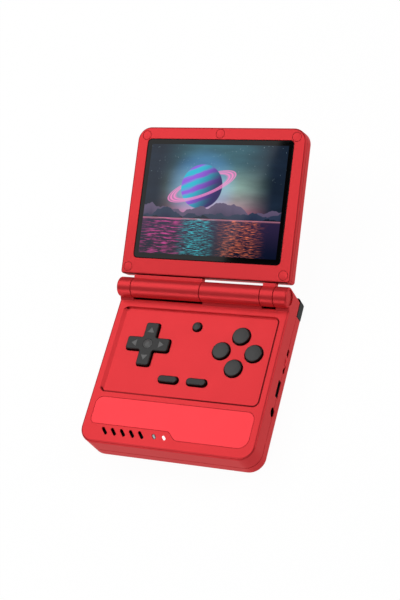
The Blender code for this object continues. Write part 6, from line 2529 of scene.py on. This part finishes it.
    def _shoulder_outline(self, inset: float) -> Outline:
        """Plan of the right shoulder button: a bar along the rear and an arm round the corner.

        Args:
            inset: How far it is drawn in.

        Returns:
            The outline.
        """
        inner, outer = SIZES.half - self.shoulder_length + inset, SIZES.half + self.side_proud - inset
        back, thickness = SIZES.rear + self.proud - inset, self.shoulder_thickness - 2 * inset
        end, edge, tight = SIZES.rear - self.shoulder_side + inset, self.shoulder_edge, self.small_edge
        corners = (
            (inner, back - thickness, tight), (outer - thickness, back - thickness, edge),
            (outer - thickness, end, tight), (outer, end, edge),
            (outer, back, self.shoulder_corner - inset), (inner, back, edge),
        )
        return rounded(corners, SMALL_ARC_STEP / 2)

    def shoulders(self) -> None:
        """The shoulder buttons at the rear corners."""
        low, high, edge = self.shoulder_low, self.shoulder_high, self.shoulder_edge
        arm_top = SIZES.parting - SIZES.seam
        inner, outer = SIZES.half - self.shoulder_length - OVERRUN, SIZES.half + OVERRUN
        front, rear = SIZES.rear - self.shoulder_side - OVERRUN, SIZES.rear + self.proud - self.shoulder_plate
        foot = self.pivot_low
        for side, body in (("left", Body.LEFT_SHOULDER), ("right", Body.RIGHT_SHOULDER)):
            shape = Shape.moulded(self._shoulder_outline, low, high, edge, edge)
            shape = shape.cut(Shape.block(inner, outer, front, rear, arm_top, high + OVERRUN))
            shape = shape.join(plain_cylinder(self.pivot_radius, foot, arm_top, *self.pivot))
            shape = shape.cut(plain_cylinder(self.pivot_bore, foot - OVERRUN, arm_top + OVERRUN, *self.pivot))
            if side == "left":
                shape.flipped()
            names = [f"shoulder_{side}"]
            self.maker.piece(f"shoulder_{side}_key", shape, self.finishes.black, body, Slot.BLACK, names)

    def build(self) -> None:
        """Build everything round the edges."""
        self.charge_port()
        self.jack()
        self.wheel()
        self.slider()
        self.shoulders()


@dataclass(frozen=True)
class Insides(Assembly):
    """What is inside the base, shown as the CAD has it but with its own finishes."""

    door_screw: Point3 = (0.0, -0.0214, 0.0001)
    door_screw_length: float = 0.0038
    case_screw_sink: float = 0.0008
    case_screw_tip: float = 0.0104
    wire: float = 0.00008
    wire_sides: int = 8
    wire_pitch: float = 0.00032
    mesh_left: float = -0.0312
    mesh_right: float = -0.0096
    mesh_front: float = -0.0371
    mesh_rear: float = -0.0299
    mesh_top: float = 0.01315

    def screws(self) -> None:
        """The screws in the underside."""
        steel = self.finishes.steel
        length = self.case_screw_tip - self.case_screw_sink - Screw(0.0).head_thickness
        spots = [(x, y, self.case_screw_sink) for x, y in SIZES.posts]
        shape = Pattern("case_screw", Screw(length).shape(), steel).on_spots(spots)
        names = [f"case_screw_{end}_{side}" for end in ("front", "rear") for side in ("left", "right")]
        self.maker.piece("case_screws", shape, steel, Body.BASE, Slot.STEEL, names)
        shape = Screw(self.door_screw_length).shape().at(*self.door_screw)
        self.maker.piece("door_screw", shape, steel, Body.BASE, Slot.STEEL, ["battery_cover_screw"])

    def speaker_mesh(self) -> None:
        """Crossed wires over the speaker, under its slots."""
        steel, section = self.finishes.dark_steel, circle(0.0, 0.0, self.wire, self.wire_sides)
        low = self.mesh_top - 3 * self.wire
        along = Shape.prism(section, self.mesh_left, self.mesh_right).along_x()
        across = Shape.prism(section, self.mesh_front, self.mesh_rear).along_y()
        rows = range(int((self.mesh_rear - self.mesh_front) / self.wire_pitch) + 1)
        columns = range(int((self.mesh_right - self.mesh_left) / self.wire_pitch) + 1)
        first = [(0.0, self.mesh_front + row * self.wire_pitch, low) for row in rows]
        second = [(self.mesh_left + column * self.wire_pitch, 0.0, low + 2 * self.wire) for column in columns]
        runs = ((along, first), (across, second))
        shapes = [Pattern("wires", wire, steel).on_spots(spots) for wire, spots in runs]
        self.maker.piece("speaker_mesh", Shape.combined(shapes), steel, Body.BASE, Slot.STEEL)

    def build(self) -> None:
        """Build the screws and the speaker's mesh, and dress the inner nodes."""
        self.screws()
        self.speaker_mesh()
        dress, finishes = self.maker.dress, self.finishes
        dress(["hinge_pin", "hinge_clutch", "card_socket", "power_switch"], finishes.steel)
        dress(["battery"], finishes.cell)
        dress(["main_board"], finishes.board)
        dress(["dpad_keypad", "button_keypad", "start_select_keypad"], finishes.rubber)
        dress(["speaker", "menu_switch", "volume_control", "dpad_pivot"], finishes.black)


@dataclass(frozen=True)
class Softbox:
    """A rectangular soft light.

    Brightness is what a mirror would show of it, where 1 is white.
    """

    name: str
    place: Point3
    aim: Point3
    side: Point3
    length: float
    width: float
    brightness: float


@dataclass(frozen=True)
class Studio:
    """Floor, lights and the photograph's camera."""

    eye: Point3 = (0.238980, -0.193622, 0.479561)
    right: Point3 = (0.903895, 0.248309, -0.348305)
    down: Point3 = (0.064237, -0.883826, -0.463384)
    forward: Point3 = (-0.422904, 0.396476, -0.814837)
    lens: float = 77.395
    sensor: float = 36.0
    clip: Point2 = (0.01, 20.0)
    floor_size: float = 6.0
    floor_drop: float = 0.0002
    floor_tone: float = 0.40
    shadow: float = 0.14
    fill: float = 0.07
    softboxes: tuple[Softbox, ...] = (
        Softbox(
            "top", (-0.452, 0.236, 0.752), (-0.1069, 0.0549, -0.0088), (-0.464, -0.885, 0.025),
            0.80, 0.50, 2.04,
        ),
        Softbox("front", (-0.43, -0.88, 0.22), (0.0, 0.02, 0.02), (0.9, -0.44, 0.0), 0.90, 0.36, 2.2),
        Softbox("right", (0.77, 0.40, 0.50), (0.0, 0.0, 0.0), (0.55, 0.0, -0.84), 1.10, 0.34, 2.2),
        Softbox("overhead", (-0.02, -0.12, 0.95), (0.0, 0.02, 0.02), (1.0, 0.0, 0.0), 0.30, 0.30, 5.6),
    )
    glow: float = 1.12

    def floor(self) -> None:
        """A pale floor that looks white and keeps a faint shadow."""
        bm = bmesh.new()
        bmesh.ops.create_grid(bm, x_segments=2, y_segments=2, size=self.floor_size / 2)
        mesh = Shape(bm).mesh("floor")
        thing = bpy.data.objects.new("floor", mesh)
        thing.location = (0, 0, -self.floor_drop)
        tree = Tree("floor")
        path = tree.node("ShaderNodeLightPath")
        seen = Value(tree, path.outputs["Is Camera Ray"])
        seen = seen.most(Value(tree, path.outputs["Is Glossy Ray"]))
        seen = seen.most(Value(tree, path.outputs["Is Transmission Ray"]))
        glow = tree.node("ShaderNodeEmission", {}, {"Color": (1, 1, 1, 1), "Strength": self.glow})
        tree.surface(Base_Color=(self.floor_tone, self.floor_tone, self.floor_tone, 1.0), Roughness=1.0)
        both = tree.node("ShaderNodeMixShader", {}, {0: seen * (1.0 - self.shadow)})
        tree.links.new(tree.shader.outputs[0], both.inputs[1])
        tree.links.new(glow.outputs[0], both.inputs[2])
        tree.links.new(both.outputs[0], tree.nodes["Material Output"].inputs["Surface"])
        mesh.materials.append(tree.material)
        bpy.context.scene.collection.objects.link(thing)

    def world(self) -> None:
        """Soft, even fill light."""
        world = bpy.data.worlds.new("studio")
        world.use_nodes = True
        background = world.node_tree.nodes["Background"]
        background.inputs["Color"].default_value = (1, 1, 1, 1)
        background.inputs["Strength"].default_value = self.fill
        bpy.context.scene.world = world

    def lamp(self, lamp: Softbox) -> None:
        """Put a softbox in its place.

        Args:
            lamp: The softbox.
        """
        light = bpy.data.lights.new(lamp.name, "AREA")
        light.shape = "RECTANGLE"
        light.size, light.size_y = lamp.length, lamp.width
        light.energy = lamp.brightness * math.pi * lamp.length * lamp.width
        thing = bpy.data.objects.new(lamp.name, light)
        away = (Vector(lamp.place) - Vector(lamp.aim)).normalized()
        side = Vector(lamp.side)
        side = (side - away * side.dot(away)).normalized()
        turn = Matrix((side, away.cross(side), away)).transposed().to_4x4()
        thing.matrix_world = Matrix.Translation(lamp.place) @ turn
        bpy.context.scene.collection.objects.link(thing)

    def camera(self) -> None:
        """The camera at the photograph's place."""
        data = bpy.data.cameras.new("camera")
        data.lens = self.lens
        data.sensor_width = self.sensor
        data.sensor_fit = "AUTO"
        data.clip_start, data.clip_end = self.clip
        thing = bpy.data.objects.new("camera", data)
        columns = (Vector(self.right), -Vector(self.down), -Vector(self.forward))
        turn = Matrix([column.normalized() for column in columns]).transposed().to_4x4()
        thing.matrix_world = Matrix.Translation(self.eye) @ turn
        bpy.context.scene.collection.objects.link(thing)
        bpy.context.scene.camera = thing

    def build(self) -> None:
        """Set up the studio."""
        self.floor()
        self.world()
        for softbox in self.softboxes:
            self.lamp(softbox)
        self.camera()
        bpy.context.scene.view_settings.view_transform = "Standard"


def main() -> None:
    """Build every sub-assembly in order."""
    logging.basicConfig(level=logging.INFO, format="%(name)s: %(message)s")
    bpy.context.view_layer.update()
    maker = Maker(Finishes.made())
    BaseShell(maker).build()
    Keys(maker).build()
    Lid(maker).build()
    Edges(maker).build()
    Insides(maker).build()
    Studio().build()


if __name__ == "__main__":
    main()
